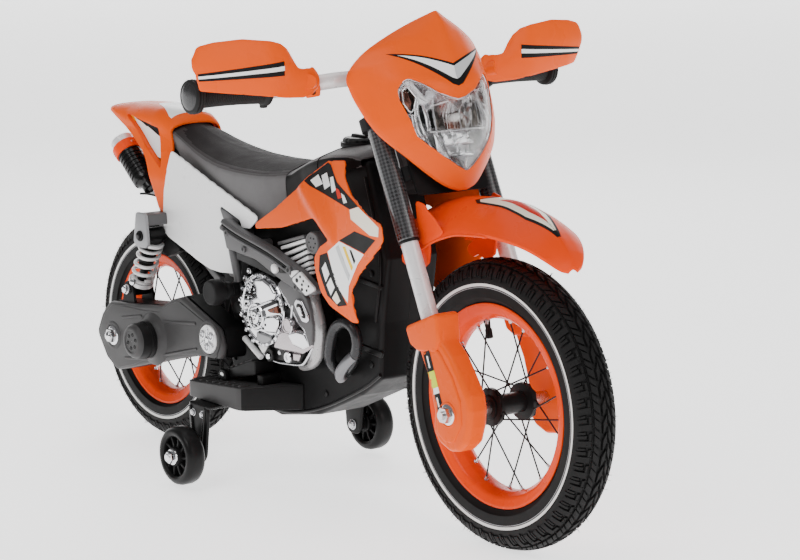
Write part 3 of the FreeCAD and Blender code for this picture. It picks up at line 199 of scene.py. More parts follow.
NODE_MAT = {
    "main_frame": FRAME_STEEL, "body_shell_right": BLACK, "body_shell_left": BLACK, "engine_covers": CHROME,
    "frame_rails": GREY, "exhaust_pipe": PIPE, "silencer": BLACK_SATIN, "tank_cover": SEAT,
    "tank_shrouds": ORANGE, "seat_base": BLACK, "seat": SEAT, "side_panels": WHITE, "charging_socket": BLACK_GLOSS,
    "tail_cowl": ORANGE, "rear_mudguard": BLACK, "footboard_right": BLACK, "footboard_left": BLACK,
    "training_brackets": BLACK_SATIN, "battery": CASE, "controller": CASE, "pivot_shaft": CHROME_SOFT, "fasteners": STEEL,
    "lower_clamp": BLACK, "upper_clamp": BLACK, "fork_tubes": SILVER, "fork_sleeves": BLACK_GLOSS, "fork_covers": ORANGE,
    "front_fender": ORANGE_RED, "headlight_mask": ORANGE, "headlight_lens": LENS, "headlight_reflector": REFLECT,
    "headlight_bulb": BULB, "fork_shield": BLACK, "handlebar": SILVER, "grips": GRIP, "hand_guards": ORANGE, "front_axle": STEEL,
    "front_tyre": RUBBER, "front_rim": RIM, "front_hub": BLACK_SATIN, "front_spokes": BLACK_SATIN,
    "swingarm_right": BLACK, "gearbox_cover": BLACK, "swingarm_left": BLACK, "drive_motor": STEEL, "rear_axle": STEEL,
    "rear_tyre": RUBBER, "rear_rim": RIM, "rear_hub": BLACK_SATIN, "rear_spokes": BLACK_SATIN, "drive_gear": NYLON,
    "idler_gear": NYLON, "motor_pinion": STEEL, "shock_cylinders": BLACK_SATIN, "shock_rods": BLACK_SATIN, "shock_springs": CHROME,
    "training_wheel_right": BLACK_SATIN, "training_wheel_left": BLACK_SATIN, "accelerator_pedal": BLACK, "power_switch": BLACK_GLOSS,
}
for n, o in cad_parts.items():
    m = NODE_MAT.get(n, BLACK)
    o.data.materials.clear()
    o.data.materials.append(m)


# ------------------------------------------------------------------ helpers
SCENE = bpy.context.scene.collection


def new_obj(name, verts, faces, material, smooth=True, edges=()):
    me = bpy.data.meshes.new(name)
    me.from_pydata([L(v) for v in verts], list(edges), faces)
    me.update()
    bm = bmesh.new()
    bm.from_mesh(me)
    bmesh.ops.recalc_face_normals(bm, faces=bm.faces)
    bm.to_mesh(me)
    bm.free()
    me.materials.append(material)
    if smooth:
        me.polygons.foreach_set("use_smooth", [True] * len(me.polygons))
    o = bpy.data.objects.new(name, me)
    SCENE.objects.link(o)
    return o


def subsurf(o, lv=2):
    m = o.modifiers.new("sub", "SUBSURF")
    m.levels = lv
    m.render_levels = lv
    m.boundary_smooth = "ALL"
    return o


def solid(o, mm, offset=-1.0):
    m = o.modifiers.new("solid", "SOLIDIFY")
    m.thickness = mm / 1000.0
    m.offset = offset
    m.use_even_offset = True
    m.thickness_clamp = 1.0
    return o


def bevel(o, mm, seg=3, ang=35.0):
    m = o.modifiers.new("bevel", "BEVEL")
    m.width = mm / 1000.0
    m.segments = seg
    m.limit_method = "ANGLE"
    m.angle_limit = math.radians(ang)
    m.harden_normals = False
    return o


def bake(o):
    """Replaces the mesh by its evaluated form, so that others can be laid on it."""
    dg = bpy.context.evaluated_depsgraph_get()
    dg.update()
    ev = o.evaluated_get(dg)
    me = bpy.data.meshes.new_from_object(ev, depsgraph=dg)
    o.modifiers.clear()
    old = o.data
    o.data = me
    bpy.data.meshes.remove(old)
    return o


def by_angle(o, deg=35.0):
    """Smooth shading with sharp edges above an angle."""
    me = o.data
    bm = bmesh.new()
    bm.from_mesh(me)
    for e in bm.edges:
        if len(e.link_faces) == 2:
            e.smooth = e.calc_face_angle(0.0) < math.radians(deg)
    for f in bm.faces:
        f.smooth = True
    bm.to_mesh(me)
    bm.free()
    return o


def ride(o, body, replaces=()):
    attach(o, body)
    if replaces:
        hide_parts(*replaces)
    return o


def grid(name, g, material, wrap=False):
    n, m = len(g), len(g[0])
    verts = [p for row in g for p in row]
    faces = []
    for i in range(n - 1):
        for j in range(m if wrap else m - 1):
            k = (j + 1) % m
            faces.append((i * m + j, (i + 1) * m + j, (i + 1) * m + k, i * m + k))
    return new_obj(name, verts, faces, material)


def lathe(name, prof, cx, cz, seg, material, closed=True, ang=35.0):
    """Turns an outline (radius, y) about an axis along y."""
    n = len(prof)
    verts, faces = [], []
    for i in range(seg):
        a = 2 * math.pi * i / seg
        c, s = math.cos(a), math.sin(a)
        for r, y in prof:
            verts.append((cx + r * c, y, cz + r * s))
    for i in range(seg):
        k = (i + 1) % seg
        for j in range(n if closed else n - 1):
            l = (j + 1) % n
            faces.append((i * n + j, k * n + j, k * n + l, i * n + l))
    o = new_obj(name, verts, faces, material)
    by_angle(o, ang)
    return o


def join(name, objs, material=None):
    """Several fresh meshes as one object, keeping their materials."""
    bm = bmesh.new()
    mats = []
    for o in objs:
        me = o.data
        base = len(bm.faces)
        idx = []
        for mm in me.materials:
            if mm not in mats:
                mats.append(mm)
            idx.append(mats.index(mm))
        bm.from_mesh(me)
        bm.faces.ensure_lookup_table()
        for f in bm.faces[base:]:
            f.material_index = idx[f.material_index] if idx else 0
    out = bpy.data.meshes.new(name)
    bm.to_mesh(out)
    bm.free()
    for mm in mats:
        out.materials.append(mm)
    for o in objs:
        me = o.data
        bpy.data.objects.remove(o)
        bpy.data.meshes.remove(me)
    ob = bpy.data.objects.new(name, out)
    SCENE.objects.link(ob)
    return ob


def cyl(p, q, r, material, r2=None, seg=24, name="cyl", cap_bevel=0.0):
    """Round bar between two points."""
    p, q = Vector(p), Vector(q)
    d = (q - p).normalized()
    u = d.orthogonal().normalized()
    v = d.cross(u)
    r2 = r if r2 is None else r2
    ln = (q - p).length
    if cap_bevel > 0:
        b = min(cap_bevel, ln * 0.45, r * 0.6, r2 * 0.6)
        prof = [(r - b, 0.0), (r - 0.3 * b, 0.3 * b), (r, b), (r2, ln - b), (r2 - 0.3 * b, ln - 0.3 * b), (r2 - b, ln)]
    else:
        prof = [(r, 0.0), (r2, ln)]
    verts, faces = [], []
    for rr, a in prof:
        for i in range(seg):
            t = 2 * math.pi * i / seg
            verts.append(tuple(p + d * a + u * (rr * math.cos(t)) + v * (rr * math.sin(t))))
    for j in range(len(prof) - 1):
        for i in range(seg):
            k = (i + 1) % seg
            faces.append((j * seg + i, j * seg + k, (j + 1) * seg + k, (j + 1) * seg + i))
    faces.append(tuple(range(seg - 1, -1, -1)))
    last = (len(prof) - 1) * seg
    faces.append(tuple(last + i for i in range(seg)))
    o = new_obj(name, verts, faces, material)
    by_angle(o, 40)
    return o


def tube(path, r, material, seg=16, name="tube", caps=True):
    """Round tube along a list of points."""
    P = [Vector(p) for p in path]
    n = len(P)
    verts, faces = [], []
    u = None
    for i in range(n):
        t = (P[min(i + 1, n - 1)] - P[max(i - 1, 0)]).normalized()
        if u is None:
            u = t.orthogonal().normalized()
        u = (u - t * u.dot(t)).normalized()
        v = t.cross(u)
        rr = r[i] if isinstance(r, (list, tuple)) else r
        for k in range(seg):
            a = 2 * math.pi * k / seg
            verts.append(tuple(P[i] + u * (rr * math.cos(a)) + v * (rr * math.sin(a))))
    for i in range(n - 1):
        for k in range(seg):
            l = (k + 1) % seg
            faces.append((i * seg + k, i * seg + l, (i + 1) * seg + l, (i + 1) * seg + k))
    if caps:
        faces.append(tuple(range(seg - 1, -1, -1)))
        faces.append(tuple((n - 1) * seg + k for k in range(seg)))
    o = new_obj(name, verts, faces, material)
    by_angle(o, 50)
    return o


def smooth_path(pts, n=12):
    """Catmull-Rom points through pts."""
    P = [Vector(p) for p in pts]
    out = []
    for i in range(len(P) - 1):
        p0, p1, p2, p3 = P[max(i - 1, 0)], P[i], P[i + 1], P[min(i + 2, len(P) - 1)]
        for k in range(n):
            t = k / n
            out.append(0.5 * ((2 * p1) + (p2 - p0) * t + (2 * p0 - 5 * p1 + 4 * p2 - p3) * t * t + (3 * p1 - p0 - 3 * p2 + p3) * t ** 3))
    out.append(P[-1])
    return [tuple(p) for p in out]


def prism(name, poly, y0, y1, material, r=0.0, bev=0.0, seg=3, axis="y"):
    """Plate from an outline (x, z) between two y planes, corners rounded by r, edges bevelled."""
    pts = []
    n = len(poly)
    for i in range(n):
        a, b, c = Vector(poly[i - 1]), Vector(poly[i]), Vector(poly[(i + 1) % n])
        u, v = (a - b), (c - b)
        lu, lv = u.length, v.length
        u.normalize()
        v.normalize()
        ang = math.acos(max(-1, min(1, u.dot(v))))
        rr = r[i] if isinstance(r, (list, tuple)) else r
        if rr <= 0 or ang > math.pi - 0.02:
            pts.append(tuple(b))
            continue
        t = min(rr / math.tan(ang / 2), 0.45 * lu, 0.45 * lv)
        re = t * math.tan(ang / 2)
        bis = (u + v).normalized()
        cen = b + bis * (re / math.sin(ang / 2))
        p0, p1 = b + u * t, b + v * t
        a0, a1 = math.atan2(p0.y - cen.y, p0.x - cen.x), math.atan2(p1.y - cen.y, p1.x - cen.x)
        da = (a1 - a0 + math.pi) % (2 * math.pi) - math.pi
        ns = max(2, int(abs(da) / 0.25))
        for k in range(ns + 1):
            aa = a0 + da * k / ns
            pts.append((cen.x + re * math.cos(aa), cen.y + re * math.sin(aa)))
    m = len(pts)
    verts = [(x, y0, z) for x, z in pts] + [(x, y1, z) for x, z in pts]
    faces = [tuple(range(m)), tuple(range(2 * m - 1, m - 1, -1))]
    for i in range(m):
        j = (i + 1) % m
        faces.append((i, j, m + j, m + i))
    o = new_obj(name, verts, faces, material)
    if bev > 0:
        bevel(o, bev, seg, 40)
        bake(o)
    by_angle(o, 40)
    return o


def mirrored(o, name):
    """A copy of a baked mesh reflected to the other side."""
    me = o.data.copy()
    for v in me.vertices:
        v.co.y = -v.co.y
    me.flip_normals()
    ob = bpy.data.objects.new(name, me)
    SCENE.objects.link(ob)
    return ob


def bvh_of(*objs):
    bm = bmesh.new()
    for o in objs:
        bm.from_mesh(o.data)
    t = BVHTree.FromBMesh(bm)
    bm.free()
    return t


def decal(name, poly, to3d, direction, target, material, lift=0.35, step=4.0):
    """A thin patch laid on a surface: outline in two numbers, to3d gives a point to start from."""
    bm = bmesh.new()
    vs = [bm.verts.new((a, b, 0.0)) for a, b in poly]
    bm.faces.new(vs)
    lo = [min(p[k] for p in poly) for k in (0, 1)]
    hi = [max(p[k] for p in poly) for k in (0, 1)]
    for k in (0, 1):
        n = Vector((1, 0, 0)) if k == 0 else Vector((0, 1, 0))
        v = lo[k] + step
        while v < hi[k] - 0.2:
            co = Vector((v, 0, 0)) if k == 0 else Vector((0, v, 0))
            bmesh.ops.bisect_plane(bm, geom=bm.verts[:] + bm.edges[:] + bm.faces[:], plane_co=co, plane_no=n)
            v += step
    bmesh.ops.triangulate(bm, faces=bm.faces[:])
    d = (L(direction) - L((0, 0, 0))).normalized()
    for v in bm.verts:
        p = L(to3d(v.co.x, v.co.y))
        hit, nor, idx, dist = target.ray_cast(p, d)
        if hit is None:
            hit, nor, idx, dist = target.find_nearest(p)
        if nor.dot(d) > 0:
            nor = -nor
        v.co = hit + nor * (lift / 1000.0)
    bmesh.ops.recalc_face_normals(bm, faces=bm.faces)
    f0 = bm.faces[:][0] if len(bm.faces) else None
    if f0 is not None and f0.normal.dot(d) > 0:
        bmesh.ops.reverse_faces(bm, faces=bm.faces)
    me = bpy.data.meshes.new(name)
    bm.to_mesh(me)
    bm.free()
    me.materials.append(material)
    me.polygons.foreach_set("use_smooth", [True] * len(me.polygons))
    o = bpy.data.objects.new(name, me)
    SCENE.objects.link(o)
    return o


def hermite(K, s):
    """Smooth, overshoot-free values between rows of (parameter, value, ...)."""
    n = len(K)
    if s <= K[0][0]:
        return K[0][1:]
    if s >= K[-1][0]:
        return K[-1][1:]
    i = max(j for j in range(n - 1) if K[j][0] <= s)
    a, b = K[i], K[i + 1]
    h = b[0] - a[0]
    u = (s - a[0]) / h
    out = []
    for c in range(1, len(a)):
        d = (b[c] - a[c]) / h
        d0 = d if i == 0 else (a[c] - K[i - 1][c]) / (a[0] - K[i - 1][0])
        d1 = d if i == n - 2 else (K[i + 2][c] - b[c]) / (K[i + 2][0] - b[0])
        m0 = 0.0 if d0 * d <= 0 else 2 * d0 * d / (d0 + d)
        m1 = 0.0 if d1 * d <= 0 else 2 * d1 * d / (d1 + d)
        out.append((2 * u ** 3 - 3 * u * u + 1) * a[c] + (u ** 3 - 2 * u * u + u) * h * m0
                   + (-2 * u ** 3 + 3 * u * u) * b[c] + (u ** 3 - u * u) * h * m1)
    return tuple(out)


def spread(a, b, n):
    return [a + (b - a) * i / (n - 1) for i in range(n)]


def round_poly(poly, r, da_max=0.22):
    """Outline with its corners rounded."""
    pts = []
    n = len(poly)
    for i in range(n):
        a, b, c = Vector(poly[i - 1]), Vector(poly[i]), Vector(poly[(i + 1) % n])
        u, v = (a - b), (c - b)
        lu, lv = u.length, v.length
        u.normalize()
        v.normalize()
        ang = math.acos(max(-1, min(1, u.dot(v))))
        rr = r[i] if isinstance(r, (list, tuple)) else r
        if rr <= 0 or ang > math.pi - 0.02:
            pts.append((b.x, b.y))
            continue
        t = min(rr / math.tan(ang / 2), 0.48 * lu, 0.48 * lv)
        re = t * math.tan(ang / 2)
        cen = b + (u + v).normalized() * (re / math.sin(ang / 2))
        p0, p1 = b + u * t, b + v * t
        a0, a1 = math.atan2(p0.y - cen.y, p0.x - cen.x), math.atan2(p1.y - cen.y, p1.x - cen.x)
        da = (a1 - a0 + math.pi) % (2 * math.pi) - math.pi
        ns = max(2, int(abs(da) / da_max))
        for k in range(ns + 1):
            aa = a0 + da * k / ns
            pts.append((cen.x + re * math.cos(aa), cen.y + re * math.sin(aa)))
    return pts


def resample(pts, n):
    """Closed outline as n evenly spaced points."""
    P = [Vector(p) for p in pts]
    seg = [(P[(i + 1) % len(P)] - P[i]).length for i in range(len(P))]
    tot = sum(seg)
    out, i, acc = [], 0, 0.0
    for k in range(n):
        d = tot * k / n
        while acc + seg[i] < d:
            acc += seg[i]
            i += 1
        f = (d - acc) / seg[i]
        q = P[i] + (P[(i + 1) % len(P)] - P[i]) * f
        out.append((q.x, q.y))
    return out


def orient(o, out):
    """Turns the faces so that most of them look along out."""
    d = Vector(out)
    s = sum(p.normal.dot(d) * p.area for p in o.data.polygons)
    if s < 0:
        o.data.flip_normals()
    return o


def skirt(o, vec, grow=0.0):
    """Pulls the free border on by a vector, in mm."""
    bm = bmesh.new()
    bm.from_mesh(o.data)
    ed = [e for e in bm.edges if e.is_boundary]
    ret = bmesh.ops.extrude_edge_only(bm, edges=ed)
    vs = [g for g in ret["geom"] if isinstance(g, bmesh.types.BMVert)]
    d = Vector(vec) / 1000.0
    for v in vs:
        v.co += d
    for f in bm.faces:
        f.smooth = True
    bm.to_mesh(o.data)
    bm.free()
    return o


def panel(name, poly, to3d, thick, material, out, step=5.0, bev=1.0, seg=2):
    """Thin moulded panel: an outline in two numbers carried to a curved surface and thickened away from out."""
    bm = bmesh.new()
    bm.faces.new([bm.verts.new((a, b, 0.0)) for a, b in poly])
    lo = [min(p[k] for p in poly) for k in (0, 1)]
    hi = [max(p[k] for p in poly) for k in (0, 1)]
    for k in (0, 1):
        n = Vector((1, 0, 0)) if k == 0 else Vector((0, 1, 0))
        v = lo[k] + step
        while v < hi[k] - 0.3 * step:
            co = Vector((v, 0, 0)) if k == 0 else Vector((0, v, 0))
            bmesh.ops.bisect_plane(bm, geom=bm.verts[:] + bm.edges[:] + bm.faces[:], plane_co=co, plane_no=n)
            v += step
    # no slivers where a cut passes close to a corner of the outline
    bmesh.ops.remove_doubles(bm, verts=bm.verts[:], dist=0.24 * step)
    for v in bm.verts:
        v.co = L(to3d(v.co.x, v.co.y))
    bm.normal_update()
    me = bpy.data.meshes.new(name)
    bm.to_mesh(me)
    bm.free()
    me.materials.append(material)
    o = bpy.data.objects.new(name, me)
    SCENE.objects.link(o)
    orient(o, out)
    solid(o, thick, -1.0)
    if bev > 0:
        bevel(o, bev, seg, 50)
    bake(o)
    by_angle(o, 40)
    return o


def cut(o, tool):
    """Takes one closed mesh away from another."""
    m = o.modifiers.new("cut", "BOOLEAN")
    m.operation = "DIFFERENCE"
    m.solver = "EXACT"
    m.object = tool
    bake(o)
    me = tool.data
    bpy.data.objects.remove(tool)
    bpy.data.meshes.remove(me)
    return o


def sphere(c, r, material, seg=24, name="sphere", squash=(1, 1, 1)):
    prof = []
    n = seg // 2
    verts, faces = [], []
    for i in range(1, n):
        a = math.pi * i / n
        for k in range(seg):
            b = 2 * math.pi * k / seg
            verts.append((c[0] + r * squash[0] * math.sin(a) * math.cos(b), c[1] + r * squash[1] * math.sin(a) * math.sin(b), c[2] + r * squash[2] * math.cos(a)))
    top = len(verts)
    verts.append((c[0], c[1], c[2] + r * squash[2]))
    verts.append((c[0], c[1], c[2] - r * squash[2]))
    for i in range(n - 2):
        for k in range(seg):
            l = (k + 1) % seg
            faces.append((i * seg + k, (i + 1) * seg + k, (i + 1) * seg + l, i * seg + l))
    for k in range(seg):
        l = (k + 1) % seg
        faces.append((top, k, l))
        faces.append((top + 1, (n - 2) * seg + l, (n - 2) * seg + k))
    return new_obj(name, verts, faces, material)


def bolt(p, axis, r, h, material, name="bolt", hexa=False):
    """Screw head with a recess: pan head, or a hexagon with a washer."""
    p, d = Vector(p), Vector(axis).normalized()
    parts = []
    if hexa:
        parts.append(cyl(p, p + d * (h * 0.25), r * 1.25, material, seg=28, cap_bevel=0.3))
        q = p + d * (h * 0.25)
        parts.append(cyl(q, q + d * (h * 0.75), r, material, seg=6, cap_bevel=0.5))
        parts.append(cyl(q, q + d * (h * 1.1), r * 0.55, material, seg=18, cap_bevel=0.5))
    else:
        parts.append(cyl(p, p + d * h, r, material, seg=24, cap_bevel=h * 0.45))
        parts.append(cyl(p + d * (h * 0.6), p + d * (h * 1.02), r * 0.45, BLACK_SATIN, seg=6))
    return join(name, parts)


def both_sides(make, name, body, replaces=()):
    """Right piece from make(), and its mirror, as one piece."""
    a = make()
    b = mirrored(a, name + "_b")
    return ride(join(name, [a, b]), body, replaces)


# -------------------------------------------------------------------- wheels
def tyre_point(R, th, drop, ang, cx, cz, hw=28.0, hr=26.0):
    """Point on the tyre's round section: th across the section in degrees, drop below the tread top."""
    a = math.radians(th)
    y = (hw - drop) * math.sin(a)
    r = (R - hr) + (hr - drop) * math.cos(a)
    return (cx + r * math.cos(ang), y, cz + r * math.sin(ang))


def block(verts, faces, R, cx, cz, th0, th1, a0, a1, skew, drop, nth=3, taper=0.8):
    """Raised tread block between two section angles and two wheel angles."""
    base = len(verts)
    for lev in (0, 1):
        k = taper if lev else 0.0
        for i in range(nth + 1):
            f = i / nth
            th = th0 + (th1 - th0) * f
            dth = 0.0
            if lev:
                if i == 0:
                    dth = 1.6 * (1 if th1 > th0 else -1)
                if i == nth:
                    dth = -1.6 * (1 if th1 > th0 else -1)
            sk = skew * (f - 0.5)
            shrink = 0.0022 if lev else 0.0
            for aa, sg in ((a0, 1), (a1, -1)):
                verts.append(tyre_point(R, th + dth, 0.0 if lev else drop, aa + sk + sg * shrink, cx, cz))
    row = 2
    top = base + (nth + 1) * 2
    for i in range(nth):
        b = base + i * 2
        t = top + i * 2
        faces.append((t, t + 1, t + 3, t + 2))
        faces.append((b, t, t + 2, b + 2))
        faces.append((b + 1, b + 3, t + 3, t + 1))
    faces.append((base, base + 1, top + 1, top))
    e, te = base + nth * 2, top + nth * 2
    faces.append((e, te, te + 1, e + 1))


def make_tyre(name, cx, cz, R, bead, pitches, ring_r):
    drop = 3.2
    hw, hr = 28.0, 26.0
    prof = []
    for i in range(-26, 27):
        a = math.radians(i * 4.0)
        prof.append(((R - hr) + (hr - drop) * math.cos(a), (hw - drop) * math.sin(a)))
    lo_r = prof[0][0]
    side = [(lo_r - 6, -25.2), (lo_r - 14, -25.6), (bead + 16, -24.0), (bead + 9, -20.0), (bead + 6.8, -18.3), (bead + 5.6, -17.6), (bead + 0.8, -17.2)]
    prof = [(r, y) for r, y in reversed(side)] + prof + [(r, -y) for r, y in side]
    # smooth carcass bulge towards the wall line
    prof = [(r, y + (2.3 * math.copysign(math.exp(-((r - ring_r) / 13.0) ** 2), y) if abs(y) > 20 else 0.0)) for r, y in prof]
    inner = [(bead + 0.8, 11.0), (bead + 0.5 * (R - bead), 19.0), (R - 9.5, 5.0), (R - 9.5, -5.0), (bead + 0.5 * (R - bead), -19.0), (bead + 0.8, -11.0)]
    car = lathe(name + "_carcass", prof + inner, cx, cz, 160, RUBBER, ang=60)
    verts, faces = [], []
    P = 2 * math.pi / pitches
    for k in range(pitches):
        a = k * P
        for sg in (-1, 1):
            o = a + (0.5 * P if sg > 0 else 0.0)
            # shoulder: long lug, short lug and the slit between them
            block(verts, faces, R, cx, cz, sg * 40, sg * 78, o + 0.04 * P, o + 0.44 * P, 0.12 * P * sg, drop, 4)
            block(verts, faces, R, cx, cz, sg * 52, sg * 84, o + 0.52 * P, o + 0.74 * P, 0.12 * P * sg, drop, 4)
            block(verts, faces, R, cx, cz, sg * 40, sg * 49, o + 0.48 * P, o + 0.94 * P, 0.05 * P * sg, drop, 2)
            block(verts, faces, R, cx, cz, sg * 55, sg * 78, o + 0.79 * P, o + 0.96 * P, 0.10 * P * sg, drop, 3)
            # middle row
            block(verts, faces, R, cx, cz, sg * 17, sg * 36, o + 0.18 * P, o + 0.66 * P, -0.35 * P * sg, drop, 3)
            block(verts, faces, R, cx, cz, sg * 19, sg * 36, o + 0.74 * P, o + 1.08 * P, -0.35 * P * sg, drop, 3)
        block(verts, faces, R, cx, cz, -13, 0.0, a + 0.1 * P, a + 0.72 * P, 0.45 * P, drop, 2)
        block(verts, faces, R, cx, cz, 1.5, 13, a + 0.45 * P, a + 1.05 * P, -0.45 * P, drop, 2)
    tread = new_obj(name + "_tread", verts, faces, RUBBER, smooth=False)
    # moulding hairs
    rnd = random.Random(7)
    hv, hf = [], []
    for k in range(int(R * 1.5)):
        a = rnd.uniform(0, 2 * math.pi)
        th = rnd.choice((-1, 1)) * rnd.uniform(28, 80)
        p = Vector(tyre_point(R, th, 0.3, a, cx, cz))
        c = Vector((cx + (R - hr) * math.cos(a), 0, cz + (R - hr) * math.sin(a)))
        d = (p - c).normalized()
        u = d.orthogonal().normalized()
        v = d.cross(u)
        d = (d + u * rnd.uniform(-0.35, 0.35) + v * rnd.uniform(-0.35, 0.35)).normalized()
        ln = rnd.uniform(2.0, 5.5)
        b = len(hv)
        for q, rr in ((p, 0.42), (p + d * ln, 0.2)):
            for j in range(4):
                t = math.pi / 2 * j
                hv.append(tuple(q + u * (rr * math.cos(t)) + v * (rr * math.sin(t))))
        for j in range(4):
            l = (j + 1) % 4
            hf.append((b + j, b + l, b + 4 + l, b + 4 + j))
        hf.append((b + 4, b + 5, b + 6, b + 7))
    hairs = new_obj(name + "_hairs", hv, hf, RUBBER)
    tyre = join(name + "_rubber", [car, tread, hairs])
    # pale lines on the wall
    rings = []
    tree = bvh_of(tyre)
    for sg in (-1, 1):
        for r0, r1, m in ((ring_r - 1.7, ring_r + 1.7, WALL_WHITE), (ring_r - 3.6, ring_r - 2.9, DECAL_GREY)):
            verts, faces = [], []
            seg = 180
            for i in range(seg):
                a = 2 * math.pi * i / seg
                for j in range(3):
                    r = r0 + (r1 - r0) * j / 2
                    p = L((cx + r * math.cos(a), sg * 60, cz + r * math.sin(a)))
                    hit, nor, _, _ = tree.ray_cast(p, Vector((0, -sg, 0)))
                    q = hit + Vector((0, sg * 0.0004, 0))
                    verts.append((q.x * 1000 - OX, q.y * 1000, q.z * 1000))
            for i in range(seg):
                k = (i + 1) % seg
                for j in range(2):
                    faces.append((i * 3 + j, k * 3 + j, k * 3 + j + 1, i * 3 + j + 1))
            rings.append(new_obj("r", verts, faces, m))
    return tyre, join(name + "_wall_lines", rings)


def make_rim(name, cx, cz, bead, wall_r):
    b = bead
    half = [(b + 0.1, 0.0), (b + 0.1, 17.6), (b + 5.6, 18.1), (b + 6.4, 18.6), (b + 6.9, 19.6), (b + 6.5, 20.7), (b + 5.2, 21.0), (b + 2.6, 20.4),
            (b + 0.6, 19.4), (b - 3.0, 18.6), (b - 6.0, 17.2), (b - 8.4, 14.6), (b - 10.4, 11.0), (b - 12.4, 8.6), (b - 13.5, 6.4), (b - 13.8, 0.0)]
    prof = half + [(r, -y) for r, y in reversed(half[1:-1])]
    return lathe(name + "_hoop", prof, cx, cz, 128, RIM, ang=28)


def spoke_ends(cx, cz, r_hub, r_rim, n=10):
    out = []
    for side in (-1, 1):
        for i in range(n):
            a = math.radians(360.0 / n * i + (180.0 / n if side > 0 else 0))
            off = math.radians(38 if i % 2 else -38)
            yh = side * (26.0 if i % 2 else 23.0)
            yr = side * (5.0 if i % 2 else 2.0)
            out.append(((cx + r_hub * math.cos(a + off), yh, cz + r_hub * math.sin(a + off)),
                        (cx + r_rim * math.cos(a), yr, cz + r_rim * math.sin(a))))
    return out


for nm, cx, cz, R, bead, ring_r, body, pitches in (("front", 0.0, 177.0, 177.0, 117.5, 146.6, "front_wheel", 54),
                                                   ("rear", -730.0, 157.0, 157.0, 100.5, 126.5, "rear_wheel", 48)):
    ty, lines = make_tyre(nm + "_tyre", cx, cz, R, bead, pitches, ring_r)
    ride(ty, body, [nm + "_tyre"])
    ride(lines, body)
    rim = make_rim(nm + "_rim", cx, cz, bead, ring_r)
    ride(rim, body, [nm + "_rim"])
    bits = []
    for p, q in spoke_ends(cx, cz, 20.5, bead - 12.5):
        p, q = Vector(p), Vector(q)
        d = (q - p).normalized()
        bits.append(cyl(q + d * 0.5, q - d * 7.0, 2.1, CHROME_SOFT, r2=1.7, seg=10))
        bits.append(cyl(q + d * 0.5, q - d * 2.2, 2.9, CHROME_SOFT, seg=8))
    ride(join(nm + "_nipples", bits), body)
    bits = []
    for sg in (-1, 1):
        # flange with a scalloped edge and rivet heads
        n = 10
        prof = []
        for i in range(n * 6):
            a = 2 * math.pi * i / (n * 6)
            prof.append((cx + (22.6 + 1.2 * math.cos(n * a)) * math.cos(a), cz + (22.6 + 1.2 * math.cos(n * a)) * math.sin(a)))
        y0 = sg * 27.2
        y1 = sg * 28.6
        bits.append(prism("fl", prof, min(y0, y1), max(y0, y1), BLACK_SATIN, bev=0.4, seg=2))
        bits.append(cyl((cx, sg * 28.4, cz), (cx, sg * 31.0, cz), 15.0, BLACK_SATIN, seg=32, cap_bevel=1.5))
    ride(join(nm + "_hub_flanges", bits), body)
    # valve
    a = math.radians(112 if nm == "front" else 200)
    c, s = math.cos(a), math.sin(a)
    v0 = (cx + (bead - 12) * c, 0, cz + (bead - 12) * s)
    v1 = (cx + (bead - 36) * c, -2, cz + (bead - 36) * s)
    v2 = (cx + (bead - 24) * c, -1, cz + (bead - 24) * s)
    ride(join(nm + "_valve", [cyl(v0, v2, 4.2, GRIP, r2=3.4, seg=16), cyl(v2, v1, 4.4, GRIP, seg=16, cap_bevel=1.0)]), body)


# ------------------------------------------------------------ headlight mask
# height s, half width, centre t, edge t, fullness of the section
MASK = [(143, 6, 41, 40, 1.8), (146, 15, 43.5, 39.5, 1.8), (152, 25, 47.5, 38.5, 1.9), (165, 40, 55, 37, 2.1), (180, 55, 61, 36, 2.2),
        (195, 68, 66, 34, 2.3), (213, 81.5, 71, 28, 2.4), (232, 92, 75, 22.4, 2.5), (262, 100, 79, 15, 2.5), (286, 103.2, 80.5, 10.5, 2.4),
        (300, 104.3, 80.5, 10, 2.3), (308, 103, 80.3, 13, 2.2), (316, 98, 80, 18.5, 2.1), (328, 85, 79.3, 31, 2.0), (340, 61, 78.2, 46, 1.9),
        (350, 34, 76.8, 60, 1.7), (356, 13, 75.4, 70, 1.4), (358.5, 3, 74.8, 74, 1.2)]
FRONT = (NX, 0.0, NZ)


def mask_t(s, y):
    w, tc, te, p = hermite(MASK, s)
    t = tc - (tc - te) * min(1.0, abs(y) / w) ** p
    if s > 256:
        t += 3.2 * min(1.0, (s - 256) / 50.0) * max(0.0, 1 - abs(y) / 24.0) ** 1.5
    # brow that stands out over the lamp
    up = max(0.0, 1 - abs(s - (262 + 0.33 * max(0.0, abs(y) - 10))) / 16.0)
    t += 2.4 * up * up * (3 - 2 * up) * max(0.0, 1 - (abs(y) / 82.0) ** 4)
    return t


LAMP = [(0, 161.5), (12, 168), (30, 182), (48, 199), (58, 211), (64.5, 234), (70.5, 258), (70, 271), (63, 279), (57, 281), (40, 267),
        (28, 256.5), (10, 248.5), (0, 246.5)]
LAMP = LAMP + [(-y, s) for y, s in reversed(LAMP[1:-1])]
LAMP_C = (0.0, 222.0)
LAMP_OUT = resample(round_poly(LAMP, 5.0), 120)

